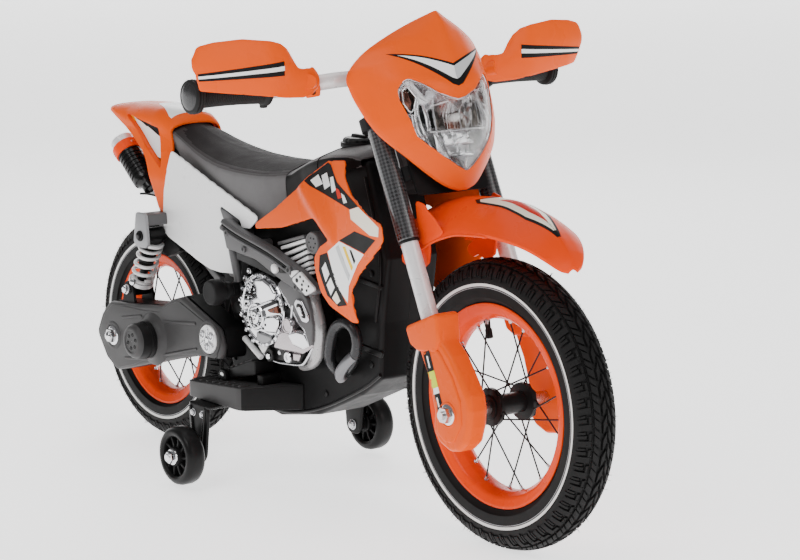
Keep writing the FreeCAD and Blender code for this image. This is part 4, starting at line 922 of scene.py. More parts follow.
cols = [math.copysign(abs(x) ** 0.85, x) for x in spread(-1.0, 1.0, 41)]
g = []
for s in spread(143.0, 358.5, 56):
    w = hermite(MASK, s)[0]
    g.append([F(s, w * f, mask_t(s, w * f)) for f in cols])
mask = grid("headlight_mask_shell", g, ORANGE)
orient(mask, FRONT)
skirt(mask, (-5.0 * NX, 0, -5.0 * NZ))
solid(mask, 2.6)
tool = new_obj("tool", [F(s, y, 0.0) for y, s in LAMP_OUT] + [F(s, y, 140.0) for y, s in LAMP_OUT],
               [tuple(range(120)), tuple(range(239, 119, -1))] + [(i, (i + 1) % 120, 120 + (i + 1) % 120, 120 + i) for i in range(120)], ORANGE)
cut(mask, tool)
bevel(mask, 1.5, 3, 45)
bake(mask)
by_angle(mask, 40)
ride(mask, "steering", ["headlight_mask"])
mask_tree = bvh_of(mask)
mask_dir = (-NX, 0.0, -NZ)


def on_mask(y, s):
    return F(s, y, 160.0)


# plain chevron on the brow: dark under pale
dec = []
dark = [(-70, 317), (0, 289), (70, 317), (8, 263.5), (0, 260.5), (-8, 263.5)]
pale = [(-61, 311.5), (0, 285.5), (61, 311.5), (5.5, 271), (0, 269), (-5.5, 271)]
dec.append(decal("chevron_dark", dark, on_mask, mask_dir, mask_tree, DECAL_BLACK, lift=0.3, step=3.0))
dec.append(decal("chevron_pale", pale, on_mask, mask_dir, mask_tree, DECAL_WHITE, lift=0.55, step=3.0))
# the far half of the pale bar painted grey as shade
grey = [(0, 285.5), (61, 311.5), (5.5, 271), (0, 269)]
dec.append(decal("chevron_painted_shade", grey, on_mask, mask_dir, mask_tree, DECAL_GREY2, lift=0.75, step=3.0))
ride(join("mask_stripes", dec), "steering")


# ------------------------------------------------------------------ headlight
def ring_pts(f, shift):
    return [(LAMP_C[0] + (y - LAMP_C[0]) * f, LAMP_C[1] + (s - LAMP_C[1]) * f) for y, s in LAMP_OUT]


def polar(name, depth, fs, material):
    verts, faces = [], []
    n = 120
    for f in fs:
        for y, s in ring_pts(f, 0):
            verts.append(F(s, y, depth(y, s, f)))
    verts.append(F(LAMP_C[1], LAMP_C[0], depth(LAMP_C[0], LAMP_C[1], 0.0)))
    for k in range(len(fs) - 1):
        for i in range(n):
            j = (i + 1) % n
            faces.append((k * n + i, k * n + j, (k + 1) * n + j, (k + 1) * n + i))
    last = (len(fs) - 1) * n
    for i in range(n):
        faces.append((last + i, last + (i + 1) % n, len(verts) - 1))
    o = new_obj(name, verts, faces, material)
    orient(o, FRONT)
    return o


def plain_t(s, y):
    w, tc, te, p = hermite(MASK, s)
    return tc - (tc - te) * min(1.0, abs(y) / w) ** p


lens = polar("headlight_lens_clear", lambda y, s, f: plain_t(s, y) - 2.2 + 9.0 * (1 - f ** 2.6),
             [0.992, 0.965, 0.92, 0.85, 0.76, 0.65, 0.52, 0.38, 0.24, 0.11], LENS)
solid(lens, 1.8)
bake(lens)
by_angle(lens, 50)
ride(lens, "steering", ["headlight_lens"])


def bowl_t(y, s, f):
    return plain_t(s, y) - 5.5 - 21.0 * (1 - min(1.0, f) ** 2.4)


bits = []
bowl = polar("bowl", bowl_t, [0.985, 0.97, 0.93, 0.87, 0.79, 0.70, 0.60, 0.49, 0.37, 0.25, 0.12], REFLECT_DIM)
solid(bowl, 1.2)
bake(bowl)
bits.append(bowl)
ANG = sorted((math.atan2(s - LAMP_C[1], y - LAMP_C[0]), math.hypot(y - LAMP_C[0], s - LAMP_C[1])) for y, s in LAMP_OUT)


def lamp_f(y, s):
    a = math.atan2(s - LAMP_C[1], y - LAMP_C[0])
    best = min(ANG, key=lambda q: abs(q[0] - a))
    return math.hypot(y - LAMP_C[0], s - LAMP_C[1]) / best[1]


def lamp_pt(y, s, off):
    return F(s, y, bowl_t(y, s, lamp_f(y, s)) + off)


def tile(y0, y1, s0, s1, off, bulge, tilt_y, tilt_s, material, n=6):
    """Mirror cell, slightly cushioned and tilted, with a back edge."""
    g = []
    cy, cs = (y0 + y1) / 2, (s0 + s1) / 2
    tc = bowl_t(cy, cs, lamp_f(cy, cs))
    for i in range(n + 1):
        row = []
        for j in range(n + 1):
            a, b = i / n * 2 - 1, j / n * 2 - 1
            y, s = cy + a * (y1 - y0) / 2, cs + b * (s1 - s0) / 2
            row.append(F(s, y, tc + off + bulge * (1 - a * a) * (1 - b * b) + tilt_y * a + tilt_s * b))
        g.append(row)
    o = grid("tile", g, material)
    orient(o, FRONT)
    solid(o, 2.0)
    bevel(o, 0.5, 2, 50)
    bake(o)
    by_angle(o, 40)
    return o


# mirror cells: the centre one brown and the right-hand ones dark as painted reflections, the left ones plain mirror
for y0, y1, s0, s1, bu, ty, ts, m in (
        (-17, -0.7, 184, 197.5, 1.8, -1.0, -1.5, REFLECT), (0.7, 17, 184, 197.5, 1.8, 1.0, -1.5, REFLECT),
        (-18, -0.7, 199, 213, 2.2, -1.5, 2.0, REFLECT), (0.7, 18, 199, 213, 2.2, 1.5, 2.0, REFLECT),
        (-27, -10.5, 215.5, 243, 2.4, -2.0, 0.5, PAINTED_DARK_REFLECTION), (-9.5, 9.5, 215.5, 243, 2.6, 0.0, 0.5, AMBER_AND_PAINTED_REFLECTION), (10.5, 27, 215.5, 243, 2.4, 2.0, 0.5, PAINTED_DARK_REFLECTION),
        (-34, -19.5, 190, 213, 2.5, -2.5, 1.0, REFLECT), (19.5, 34, 190, 213, 2.5, 2.5, 1.0, PAINTED_DARK_REFLECTION),
        (-42, -29, 216, 250, 2.5, -3.0, 0.8, REFLECT), (29, 42, 216, 250, 2.5, 3.0, 0.8, PAINTED_DARK_REFLECTION)):
    bits.append(tile(y0, y1, s0, s1, 3.5, bu, ty, ts, m))
for y, s0, s1 in ((-10, 214, 246), (10, 214, 246), (-28, 190, 252), (28, 190, 252)):
    bits.append(tube([lamp_pt(y, s, 6.0) for s in spread(s0, s1, 9)], 0.75, CHROME, seg=8))
bits.append(tube([lamp_pt(y, 214.3, 7.0) for y in spread(-40, 40, 17)], 0.8, CHROME, seg=8))
bits.append(tube([lamp_pt(y, 246, 6.0) for y in spread(-30, 30, 13)], 0.9, CHROME, seg=8))
for k in (-1, 1):
    # side lamps: dark amber pocket, its brown tint partly a painted reflection, in a bright frame, and curved bars
    # beside it
    pocket = [(47, 258), (58, 273), (64, 268), (65, 254), (59, 240), (52, 246)]
    pts = round_poly([(k * y, s) for y, s in pocket], 2.5)
    o = new_obj("pocket", [lamp_pt(y, s, 2.5) for y, s in pts], [tuple(range(len(pts)))], AMBER_AND_PAINTED_REFLECTION)
    orient(o, FRONT)
    solid(o, 1.5)
    bake(o)
    bits.append(o)
    bits.append(tube([lamp_pt(y, s, 3.6) for y, s in pts + pts[:2]], 1.2, CHROME, seg=8))
    for y0, y1, y2, s0, s1, s2, r in ((45, 49, 43, 256, 232, 207, 1.9), (50, 55, 49, 246, 226, 206, 1.7), (57, 60, 53, 238, 222, 207, 1.5)):
        path = smooth_path([(k * y0, s0, 0), (k * y1, s1, 0), (k * y2, s2, 0)], 7)
        bits.append(tube([lamp_pt(p[0], p[1], 3.2) for p in path], r, CHROME, seg=10))
    # lower side facets
    bits.append(tile(min(k * 20, k * 33), max(k * 20, k * 33), 178.5, 189, 3.0, 1.2, -1.0 * k, -1.0, CHROME, 4))
ride(join("headlight_mirrors", bits), "steering", ["headlight_reflector"])
c0, c1 = lamp_pt(0, 228, 3.0), lamp_pt(0, 228, 13.0)
bits = [cyl(lamp_pt(0, 228, 0.0), c0, 7.5, CHROME, seg=28, cap_bevel=1.0), cyl(c0, c1, 5.0, BULB, r2=4.6, seg=24), sphere(c1, 4.6, BULB, 20)]
ride(join("headlight_bulb_glass", bits), "steering", ["headlight_bulb"])
rimp = [F(s, y, plain_t(s, y) - 2.4) for y, s in LAMP_OUT]
ride(tube(rimp + rimp[:2], 1.1, CHROME_SOFT, seg=8, name="headlight_bezel", caps=False), "steering")

# --------------------------------------------------------------- front fender
# x, ridge z, half width, drop to the edge, fullness
FEND = [(-141, 399, 52, 40, 2.2), (-120, 408, 55, 48, 2.4), (-96, 415, 56.5, 51, 2.7), (-75, 419.5, 57, 45, 2.8), (-56, 422, 57, 40, 2.7),
        (-26, 424.5, 57, 34.5, 2.5), (7, 424, 56.5, 31, 2.3), (36, 418.5, 55, 26, 2.1), (58, 411, 51, 21, 2.0), (80, 399.5, 42.5, 16, 1.9),
        (100, 381.5, 30, 10, 1.9), (110, 368.5, 18, 7, 1.9), (114.5, 359.5, 7, 3, 1.9)]


def fender_pt(x, f):
    z, w, d, q = hermite(FEND, x)
    crest = 2.2 * max(0.0, 1 - abs(f) * w / 15.0) ** 1.3
    return (x, w * f, z - d * abs(f) ** q + crest - 2.2)


g = [[fender_pt(x, f) for f in spread(-1, 1, 37)] for x in spread(-141, 90, 40) + spread(92, 114.5, 16)]
fen = grid("front_fender_blade", g, ORANGE_RED)
orient(fen, (0, 0, 1))
skirt(fen, (0, 0, -3.5))
solid(fen, 2.6)
bevel(fen, 1.1, 3, 40)
bake(fen)
by_angle(fen, 40)
fen_tree = bvh_of(fen)
bits = [fen]
wing = round_poly([(-102, 417), (-86, 414), (-50, 384.5), (-60, 377), (-92, 362.5), (-98, 372)], [4, 3, 3, 3, 5, 6])
for k in (-1, 1):
    bits.append(panel("wing", wing, lambda a, b, k=k: (a, k * (57.5 + 3.0 * max(0.0, (b - 364) / 52.0)), b), 3.0, ORANGE_RED, (0, k, 0), step=6, bev=1.0, seg=3))
    # lower lip behind the crease
    bits.append(tube([(x, k * (hermite(FEND, x)[1] - 0.3), fender_pt(x, 1.0)[2] - 3.4) for x in spread(-94, 24, 24)], 1.8, ORANGE_RED, seg=10))
    # lobed bracket that reaches down beside the leg
    lobes = [(-95, 376), (-112, 368), (-128, 353), (-137, 346), (-136, 337), (-126, 333), (-116, 338), (-106, 334), (-94, 335), (-85, 342), (-83, 356), (-84, 372)]
    a, b = sorted((k * 50.0, k * 54.0))
    bits.append(prism("lobes", lobes, a, b, ORANGE_RED, r=5, bev=1.4))
ride(join("front_fender_moulding", bits), "steering", ["front_fender"])
dec = []


def on_fender(x, y):
    return (x, y, 520.0)


dec.append(decal("fender_dark", [(-44, -15), (-30, -24), (52, -19), (90, -3), (90, 3), (52, 19), (-30, 24), (-44, 15), (-24, 0)], on_fender, (0, 0, -1), fen_tree, DECAL_BLACK, lift=0.3, step=3))
dec.append(decal("fender_pale", [(-36, -14), (-28, -20), (48, -15.5), (82, -2), (82, 2), (48, 15.5), (-28, 20), (-36, 14), (-17, 0)], on_fender, (0, 0, -1), fen_tree, DECAL_CREAM, lift=0.5, step=3))
dec.append(decal("fender_mid", [(-8, -8), (44, -6.5), (70, 0), (44, 6.5), (-8, 8), (2, 0)], on_fender, (0, 0, -1), fen_tree, DECAL_RED, lift=0.7, step=3))
ride(join("fender_stripes", dec), "steering")

# ---------------------------------------------------------------- hand guards
GRD = [(-126, 547, 566, -207), (-134, 541, 574, -205.5), (-150, 538, 576, -203), (-166, 538, 584, -200.5), (-180, 539, 601, -198), (-196, 541, 607.5, -195.6),
       (-205, 542.5, 609, -195.4), (-216, 544, 610.5, -196.5), (-241, 547, 613, -200), (-276, 550, 611, -206.5), (-300, 560, 606, -213), (-309, 576, 594, -217)]


def guard_x(y, z):
    ys = [g[0] for g in GRD]
    for a, b in zip(GRD[:-1], GRD[1:]):
        if b[0] <= y <= a[0]:
            u = (y - a[0]) / (b[0] - a[0])
            z0, z1, x = [a[k] + (b[k] - a[k]) * u for k in (1, 2, 3)]
            break
    else:
        z0, z1, x = GRD[0][1:] if y > -126 else GRD[-1][1:]
    f = (z - z0) / max(1.0, z1 - z0)
    return x + 4.5 * (1 - (2 * f - 1) ** 2) - 1.0


GOUT = [(-126, 547), (-134, 541), (-150, 537.5), (-180, 539.5), (-216, 544.5), (-260, 549.5), (-293, 553.5), (-298, 567), (-304.5, 581), (-305, 591), (-297, 606), (-277, 610.5),
        (-241, 613), (-203, 609), (-187, 605), (-176, 597.5), (-169, 588), (-160.5, 574.5), (-151, 572.5), (-134, 574), (-126, 566)]
GRND = [5, 6, 10, 14, 20, 20, 5, 10, 10, 8, 9, 14, 20, 20, 14, 12, 12, 6, 8, 6, 5]


def make_guard():
    plate = panel("plate", round_poly(GOUT, GRND), lambda y, z: (guard_x(y, z), y, z), 3.6, ORANGE, (1, 0, 0), step=5, bev=1.5, seg=3)
    d = Vector((-39, -70, -12)).normalized()
    c = Vector((-213, -96, 555)) + d * 30
    ring = cyl(c - d * 9, c + d * 9, 16.5, ORANGE, seg=40, cap_bevel=2.5)
    neck = cyl(c + d * 1, (-199, -146, 557), 10.5, ORANGE, r2=9.0, seg=28)
    side = Vector((0.75, -0.35, -0.55)).normalized()
    scr = bolt(c + side * 15.5, side, 3.2, 2.2, BLACK_SATIN)
    return join("guard", [plate, ring, neck, scr])


gd = make_guard()
gd2 = mirrored(gd, "guard_left")
trees = {-1: bvh_of(gd), 1: bvh_of(gd2)}
ride(join("hand_guard_pair", [gd, gd2]), "steering", ["hand_guards"])
dec = []
for k in (-1, 1):
    def on_guard(y, z, k=k):
        return (-120.0, k * y, z)
    t = trees[k]
    for poly, m, lf in ((([(185, 567), (185, 584), (298, 574.3), (295.5, 565.5)]), DECAL_BLACK, 0.3), (([(185, 573), (185, 578.4), (297.5, 571.4), (296.6, 568.2)]), DECAL_WHITE, 0.5)):
        dec.append(decal("band", poly, on_guard, (-1, 0, 0), t, m, lift=lf, step=4))
ride(join("guard_stripes", dec), "steering")

# ------------------------------------------------------------- grips and bar
GX, GZ = -252.0, 543.0


def make_grip():
    prof = [(10.3, -171), (16.5, -171), (18.0, -172.5), (18.0, -176.5), (16.0, -178.5), (14.4, -180.5)]
    y = -182.0
    while y > -268:
        u = (y + 182) / -86.0
        r = 14.2 - 1.0 * math.sin(math.pi * u)
        prof += [(r, y), (r + 0.55, y - 0.5), (r + 0.55, y - 1.5), (r, y - 2.0)]
        y -= 2.6
    prof += [(r, y + 14.0) for r, y in ((14.3, -283.5), (18.5, -285), (20.2, -286), (20.6, -287.4), (20.0, -288.6), (18.6, -289), (20.4, -289.5), (21.0, -291), (20.4, -292.4),
                                        (18.8, -292.8), (20.2, -293.4), (20.6, -294.8), (19.8, -296.2), (18.0, -297), (10.3, -297))]
    sleeve = lathe("sleeve", prof, GX, GZ, 48, GRIP, ang=40)
    cap = lathe("cap", [(0.05, -285.2), (5.0, -285.0), (10.0, -284.5), (14.0, -283.7), (16.4, -282.8), (16.6, -282.0), (0.05, -282)], GX, GZ, 48, GRIP_END, closed=False, ang=50)
    lug = prism("lug", [(GX - 5, GZ - 21), (GX + 4, GZ - 20), (GX + 7, GZ - 13), (GX - 7, GZ - 13)], -177.5, -172.5, GRIP, r=2, bev=0.8)
    return join("grip", [sleeve, cap, lug])


both_sides(make_grip, "grip_pair", "steering", ["grips"])


def bent(pts, cut):
    """Polyline with each inner corner rounded off."""
    out = [Vector(pts[0])]
    for a, b, c in zip(pts[:-2], pts[1:-1], pts[2:]):
        a, b, c = Vector(a), Vector(b), Vector(c)
        p, q = b + (a - b).normalized() * cut, b + (c - b).normalized() * cut
        for i in range(9):
            t = i / 8.0
            out.append(p * (1 - t) ** 2 + b * 2 * t * (1 - t) + q * t * t)
    return out + [Vector(pts[-1])]


BARP = [(GX, -278.0, GZ), (GX, -166.0, GZ), (-213.0, -96.0, 555.0), (-206.93, -42.0, 556.93)]
BARP += [(x, -y, z) for x, y, z in reversed(BARP)]
ride(tube(bent(BARP, 14.0), 10.0, SILVER, seg=32, name="handlebar_tube"), "steering", ["handlebar"])

# ------------------------------------------------------------------ fork legs
CARBON = carbon_mat()


def fork_tube(name, y, s0, s1, prof, material, seg=40, length_uv=True):
    """Turned piece about a fork leg: prof of (radius, s); with a texture map round and along it."""
    verts, faces, uvs = [], [], []
    n = len(prof)
    for r, s in prof:
        for i in range(seg):
            a = 2 * math.pi * i / seg
            verts.append(F(s, y + r * math.cos(a), r * math.sin(a)))
    for j in range(n - 1):
        for i in range(seg):
            k = (i + 1) % seg
            faces.append((j * seg + i, j * seg + k, (j + 1) * seg + k, (j + 1) * seg + i))
    me = bpy.data.meshes.new(name)
    me.from_pydata([L(v) for v in verts], [], faces)
    uv = me.uv_layers.new(name="UVMap")
    q = 0
    for f in me.polygons:
        j, i = divmod(f.index, seg)
        cor = ((i, j), (i + 1, j), (i + 1, j + 1), (i, j + 1))
        for li, (ci, cj) in zip(f.loop_indices, cor):
            uv.data[li].uv = (ci / seg, prof[cj][1] / 85.0)
    me.materials.append(material)
    bm = bmesh.new()
    bm.from_mesh(me)
    bmesh.ops.recalc_face_normals(bm, faces=bm.faces)
    bm.to_mesh(me)
    bm.free()
    o = bpy.data.objects.new(name, me)
    SCENE.objects.link(o)
    by_angle(o, 40)
    return o


bits = []
for k in (-1, 1):
    prof = [(11.2, 98.2), (13.0, 98.2), (13.6, 99.2)] + [(13.6, s) for s in spread(100, 256, 40)] + [(13.6, 257.4), (13.0, 258.8), (11.2, 258.8)]
    bits.append(fork_tube("sleeve", k * 72.0, 98, 259, prof, CARBON))
ride(join("fork_sleeve_pair", bits), "steering", ["fork_sleeves"])
bits = []
for k in (-1, 1):
    bits.append(fork_tube("wiper", k * 72.0, 95, 98, [(11.1, 94.6), (12.6, 94.8), (13.2, 95.8), (13.2, 97.2), (12.4, 98.1), (11.1, 98.1)], BLACK_SATIN, 32))
ride(join("fork_wipers", bits), "steering")

COVER = [(-78, 266), (-22, 292), (-16, 262), (2, 247), (18, 226), (34, 204), (38, 186), (36, 166), (30, 146), (16, 134), (0, 131),
         (-20, 138), (-32, 152), (-30, 176), (-44, 218), (-62, 250), (-76, 254)]
COLLAR = [(-82, 270), (-22, 296), (-17, 263), (-23, 247), (-58, 244), (-72, 250)]


def make_cover():
    body = prism("body", COVER, -90, -60, ORANGE, r=9, bev=7.0, seg=6)
    face = prism("face", [(-52, 244), (-20, 252), (8, 222), (22, 196), (24, 168), (10, 144), (-6, 142), (-22, 152), (-20, 178), (-36, 216)], -92.0, -84, ORANGE, r=8, bev=2.6, seg=5)
    col = prism("col", COLLAR, -93.0, -57.5, ORANGE, r=6, bev=4.0, seg=5)
    ring = lathe("ring", [(12.5, -89.5), (15.5, -90.5), (15.5, -92.6), (14.6, -93.2), (12.5, -92.4)], 0, 177, 40, ORANGE)
    return join("cover", [body, face, col, ring])


cv = make_cover()
cv2 = mirrored(cv, "cover_left")
trees = {-1: bvh_of(cv), 1: bvh_of(cv2)}
ride(join("fork_cover_pair", [cv, cv2]), "steering", ["fork_covers"])
dec = []
a0, b0 = Vector((-47.0, 244.0)), Vector((-20.0, 177.0))
wv = Vector((b0.y - a0.y, -(b0.x - a0.x))).normalized() * -13.5
for k in (-1, 1):
    def on_cover(x, z, k=k):
        return (x, k * 130.0, z)
    cuts = ((0.0, 0.34, DECAL_BLACK), (0.34, 0.62, DECAL_LIME), (0.62, 0.72, DECAL_WHITE), (0.72, 1.0, DECAL_BLACK), (0.08, 0.28, None), (0.78, 0.94, None))
    for u0, u1, m in cuts:
        p0, p1 = a0.lerp(b0, u0), a0.lerp(b0, u1)
        if m is None:
            poly = [tuple(p0 + wv * 0.4), tuple(p0 + wv * 0.6), tuple(p1 + wv * 0.6), tuple(p1 + wv * 0.4)]
            dec.append(decal("strip", poly, on_cover, (0, -k, 0), trees[k], DECAL_WHITE, lift=0.55, step=4))
        else:
            poly = [tuple(p0), tuple(p0 + wv), tuple(p1 + wv), tuple(p1)]
            dec.append(decal("strip", poly, on_cover, (0, -k, 0), trees[k], m, lift=0.3, step=4))
ride(join("cover_strips", dec), "steering")
# bright domed washers under the axle nuts
bits = []
for k in (-1, 1):
    o = lathe("w", [(5.2, -93.6), (11.4, -93.6), (12.6, -92.8), (12.9, -91.4), (5.2, -91.4)], 0, 177, 36, CHROME)
    bits.append(o if k < 0 else mirrored(o, "w2"))
    if k > 0:
        bpy.data.objects.remove(o)
ride(join("front_axle_cups", bits), "steering")


# ---------------------------------------------------------------------- seat
# x, half width, crown z, edge z
SEATK = [(-672, 38, 456, 420), (-650, 41, 451, 415.5), (-620, 46, 442.5, 407), (-590, 51.5, 436, 399), (-560, 57, 432.2, 390.5), (-520, 62.5, 429, 379),
         (-470, 66, 427.6, 364.5), (-425, 66.5, 428.6, 353.5), (-398, 62.5, 430.5, 360), (-374, 56.5, 433.5, 382)]
# part of the half width, drop below the crown
SEATP = [(1.0, 24.0), (0.99, 19.2), (0.955, 15.6), (0.87, 12.2), (0.64, 7.4), (0.36, 2.6), (0.0, 0.0)]


def dome(hw, zt, ze, n, m, k):
    """Half section of a padded or blown shape, from the edge over the crown to the other edge."""
    out = []
    for i in range(k + 1):
        a = math.pi * i / k
        c, s = math.cos(a), math.sin(a)
        out.append((-hw * math.copysign(abs(c) ** (2.0 / n), c), ze + (zt - ze) * abs(s) ** (2.0 / m)))
    return out


def seat_row(x):
    hw, zt, ze = hermite(SEATK, x)
    k = min(1.0, (zt - ze) / 46.0)
    half = [(x, -hw * 0.955, ze), (x, -hw * 0.975, ze + 0.35 * (zt - 24 * k - ze)), (x, -hw * 0.993, ze + 0.72 * (zt - 24 * k - ze))]
    half += [(x, -hw * f, zt - d * k) for f, d in SEATP]
    half = smooth_path(half, 5)
    return half + [(px, -py, pz) for px, py, pz in reversed(half[:-1])]


xs = spread(-672, -374, 74)
g = [seat_row(x) for x in xs]
so = grid("seat_skin", g, SEAT_PAINTED_LIGHT_TONES[0])
orient(so, (0, 0, 1))
# four painted-light tones from the top down to the side: darker on the top, lighter on the flanks where the light falls
for m in SEAT_PAINTED_LIGHT_TONES[1:]:
    so.data.materials.append(m)
for f in so.data.polygons:
    ny = abs(f.normal.y)
    f.material_index = 0 if ny < 0.34 else 1 if ny < 0.56 else 2 if ny < 0.80 else 3
solid(so, 4.0)
bevel(so, 1.6, 3, 50)
bake(so)
by_angle(so, 50)
ribs = []
for k in (-1, 1):
    # piping along the edge in the lightest painted-light tone
    ribs.append(tube([(x, k * hermite(SEATK, x)[0] * 0.958, hermite(SEATK, x)[2] + 1.2) for x in xs[8:-2]], 1.8, SEAT_PAINTED_LIGHT_TONES[3], seg=10))
ride(join("seat_cushion", [so] + ribs), "frame", ["seat"])

# ---------------------------------------------------------------------- tank
TANKK = [(-381, 55.2, 430.9, 383), (-373.5, 55.9, 432.8, 384), (-358, 55.5, 437.5, 396), (-345, 55.5, 443, 405), (-330, 57, 449.5, 411), (-315, 58.5, 455, 416), (-297, 59.5, 459.8, 421),
         (-280, 59.5, 462.8, 426), (-262, 58.5, 464, 432), (-245, 56, 463.6, 437), (-235, 53, 461.5, 440), (-226, 48, 457, 443)]


def tank_row(x):
    hw, zt, ze = hermite(TANKK, x)
    k = min(1.0, (zt - ze) / 46.0)
    half = [(x, -hw * 0.955, ze), (x, -hw * 0.975, ze + 0.35 * (zt - 24 * k - ze)), (x, -hw * 0.993, ze + 0.72 * (zt - 24 * k - ze))]
    half += [(x, -hw * f, zt - d * k) for f, d in SEATP]
    half = smooth_path(half, 5)
    return half + [(px, -py, pz) for px, py, pz in reversed(half[:-1])]


tk = grid("tank_skin", [tank_row(x) for x in spread(-381, -226, 50)], SEAT_PAINTED_LIGHT_TONES[0])
orient(tk, (0, 0, 1))
# the last slot, black, is painted shade for the flank behind the shroud
for m in SEAT_PAINTED_LIGHT_TONES[1:] + [BLACK]:
    tk.data.materials.append(m)
for f in tk.data.polygons:
    ny = abs(f.normal.y)
    t = 0 if ny < 0.34 else 1 if ny < 0.56 else 2 if ny < 0.80 else 3
    # the painted-light tones step lighter towards the front, and the flank behind the shroud is painted black as shade
    cx = f.center.x * 1000.0
    f.material_index = t if cx < -352 else min(3, t + 1) if cx < -301 else (4 if t == 3 else 2 if t < 2 else 3)
solid(tk, 3.0)
bevel(tk, 1.5, 3, 50)
bake(tk)
by_angle(tk, 45)
bits = [tk]
# parting line between the seat's nose and the cover
bits.append(tube(tank_row(-301.0), 0.9, BLACK, seg=8))
# filler cap with a knurled edge and a finger bar
prof = []
for i in range(96):
    a = 2 * math.pi * i / 96
    r = 20.6 + (0.8 if (i // 3) % 2 else 0.0)
    prof.append((r * math.cos(a), r * math.sin(a)))
cap = new_obj("cap", [(-291 + x, y, 461.5) for x, y in prof] + [(-291 + x, y, 468.5) for x, y in prof] + [(-291 + 0.86 * x, 0.86 * y, 470.5) for x, y in prof],
              [tuple(range(96)), tuple(range(287, 191, -1))] + [(b + i, b + (i + 1) % 96, b + 96 + (i + 1) % 96, b + 96 + i) for b in (0, 96) for i in range(96)], BLACK_SATIN)
by_angle(cap, 30)
bits += [cap, cyl((-291, 0, 458), (-291, 0, 465.0), 24.5, BLACK_SATIN, seg=64, cap_bevel=1.5)]
o = prism("fb", [(-291 - 15, 469.5), (-291 + 15, 469.5), (-291 + 13, 474), (-291 - 13, 474)], -3.6, 3.6, BLACK_SATIN, r=2, bev=1.4)
bits.append(o)
ride(join("tank_cover_skin", bits), "frame", ["tank_cover"])

# ------------------------------------------------------------------- shrouds
SHQ = (-91.83, -4.72, 0.93, -0.37, -7.21, 13.04, -1.58, 0.55, 1.11)


def shroud_y(x, z):
    u, w = (x + 260) / 100.0, (z - 350) / 100.0
    y = sum(c * t for c, t in zip(SHQ, (1, u, w, u * u, u * w, w * w, u ** 3, u * u * w, u * w * w)))
    # crease across the fin, and a raised border along the front edge
    d = ((x + 295) * (356 - 407) - (z - 407) * (-224 + 295)) / math.hypot(71, 51)
    if -330 < x < -215 and z > 352:
        f = max(0.0, 1 - abs(d) / 9.0) if d > 0 else max(0.0, 1 - abs(d) / 34.0)
        y -= 3.2 * f * f * (3 - 2 * f) * min(1.0, max(0.0, (x + 330) / 30.0))
    return y - 1.5


SHR = [(-424, 344), (-362, 377), (-303, 415), (-288, 428), (-249, 451), (-211, 455.5), (-205, 436), (-184, 416), (-144, 398), (-105, 389), (-103, 371), (-128, 351),
       (-166, 321), (-188, 297), (-191, 277), (-187, 256), (-199, 255), (-240, 270), (-255, 286), (-263, 315), (-262, 331), (-249, 345), (-228, 356.5), (-256, 374),
       (-268, 378.5), (-339, 357)]
SHRR = [4, 60, 30, 20, 5, 3, 12, 30, 40, 5, 6, 30, 20, 10, 10, 2, 2, 20, 20, 20, 8, 8, 1.5, 6, 12, 60]
SHR_P = round_poly(SHR, SHRR)


def make_shroud():
    return panel("shroud", SHR_P, lambda x, z: (x, shroud_y(x, z), z), 3.4, ORANGE, (0, -1, 0), step=4.0, bev=1.5, seg=3)


sh = make_shroud()
sh2 = mirrored(sh, "shroud_l")
trees = {-1: bvh_of(sh), 1: bvh_of(sh2)}
DESIGN = [
    # dark diagonal band with plain slanted bars
    ([(-294, 421.5), (-287, 427.5), (-249, 449), (-241, 447), (-220, 428), (-165, 405.5), (-184, 399.5), (-280, 417)], DECAL_BLACK, 0.3),
    ([(-281, 423.5), (-266, 432.5), (-252, 422.5), (-266, 416.8)], DECAL_WHITE, 0.5),
    ([(-258, 432), (-247, 437), (-234, 422.5), (-246, 416)], DECAL_WHITE, 0.5),
    ([(-238, 432), (-231, 434), (-220, 419), (-228, 414)], DECAL_WHITE, 0.5),
    ([(-222, 421.5), (-213, 420), (-204, 411.5), (-213, 408.5)], DECAL_RED, 0.5),
    ([(-207, 416.5), (-199, 414.5), (-191, 407), (-199, 404.8)], DECAL_WHITE, 0.5),
    # pale flash behind the front corner
    ([(-184, 399), (-165, 405), (-112, 387), (-113, 375.5), (-134, 374.5), (-180, 388)], DECAL_CREAM, 0.4),
    # dark wedge and the pale field under it
    ([(-206, 358.5), (-171, 374.5), (-121, 370.5), (-149, 350)], DECAL_BLACK, 0.3),
    ([(-232, 341), (-206, 357.5), (-150, 349), (-166, 334.5), (-192, 303), (-200, 280), (-218, 300)], DECAL_WHITE, 0.3),
    ([(-250, 334), (-234, 339.5), (-203, 277), (-222, 272.5), (-242, 284), (-254, 314)], DECAL_BLACK, 0.3),
    ([(-214, 349), (-207, 353), (-186, 318), (-190, 310)], DECAL_GREY2, 0.5),
    ([(-198, 352), (-192, 352.5), (-177, 329), (-181, 324)], DECAL_YELLOW, 0.5),
    ([(-183, 350.5), (-178, 350), (-170, 338), (-174, 333.5)], DECAL_BLACK, 0.5),
    ([(-247, 318), (-238, 327), (-231, 313), (-241, 301)], DECAL_WHITE, 0.5),
    ([(-240, 298), (-229, 309), (-223, 297), (-234, 285)], DECAL_WHITE, 0.5),
    ([(-232, 282), (-221, 293), (-215, 281), (-224, 275)], DECAL_CREAM, 0.5),
]
ride(join("tank_shroud_pair", [sh, sh2]), "frame", ["tank_shrouds"])
dec = []
for k in (-1, 1):
    def on_shroud(x, z, k=k):
        return (x, k * 150.0, z)
    for i, (poly, m, lf) in enumerate(DESIGN):
        dec.append(decal("d", poly, on_shroud, (0, -k, 0), trees[k], m, lift=lf, step=4))
ride(join("shroud_stripes", dec), "frame")

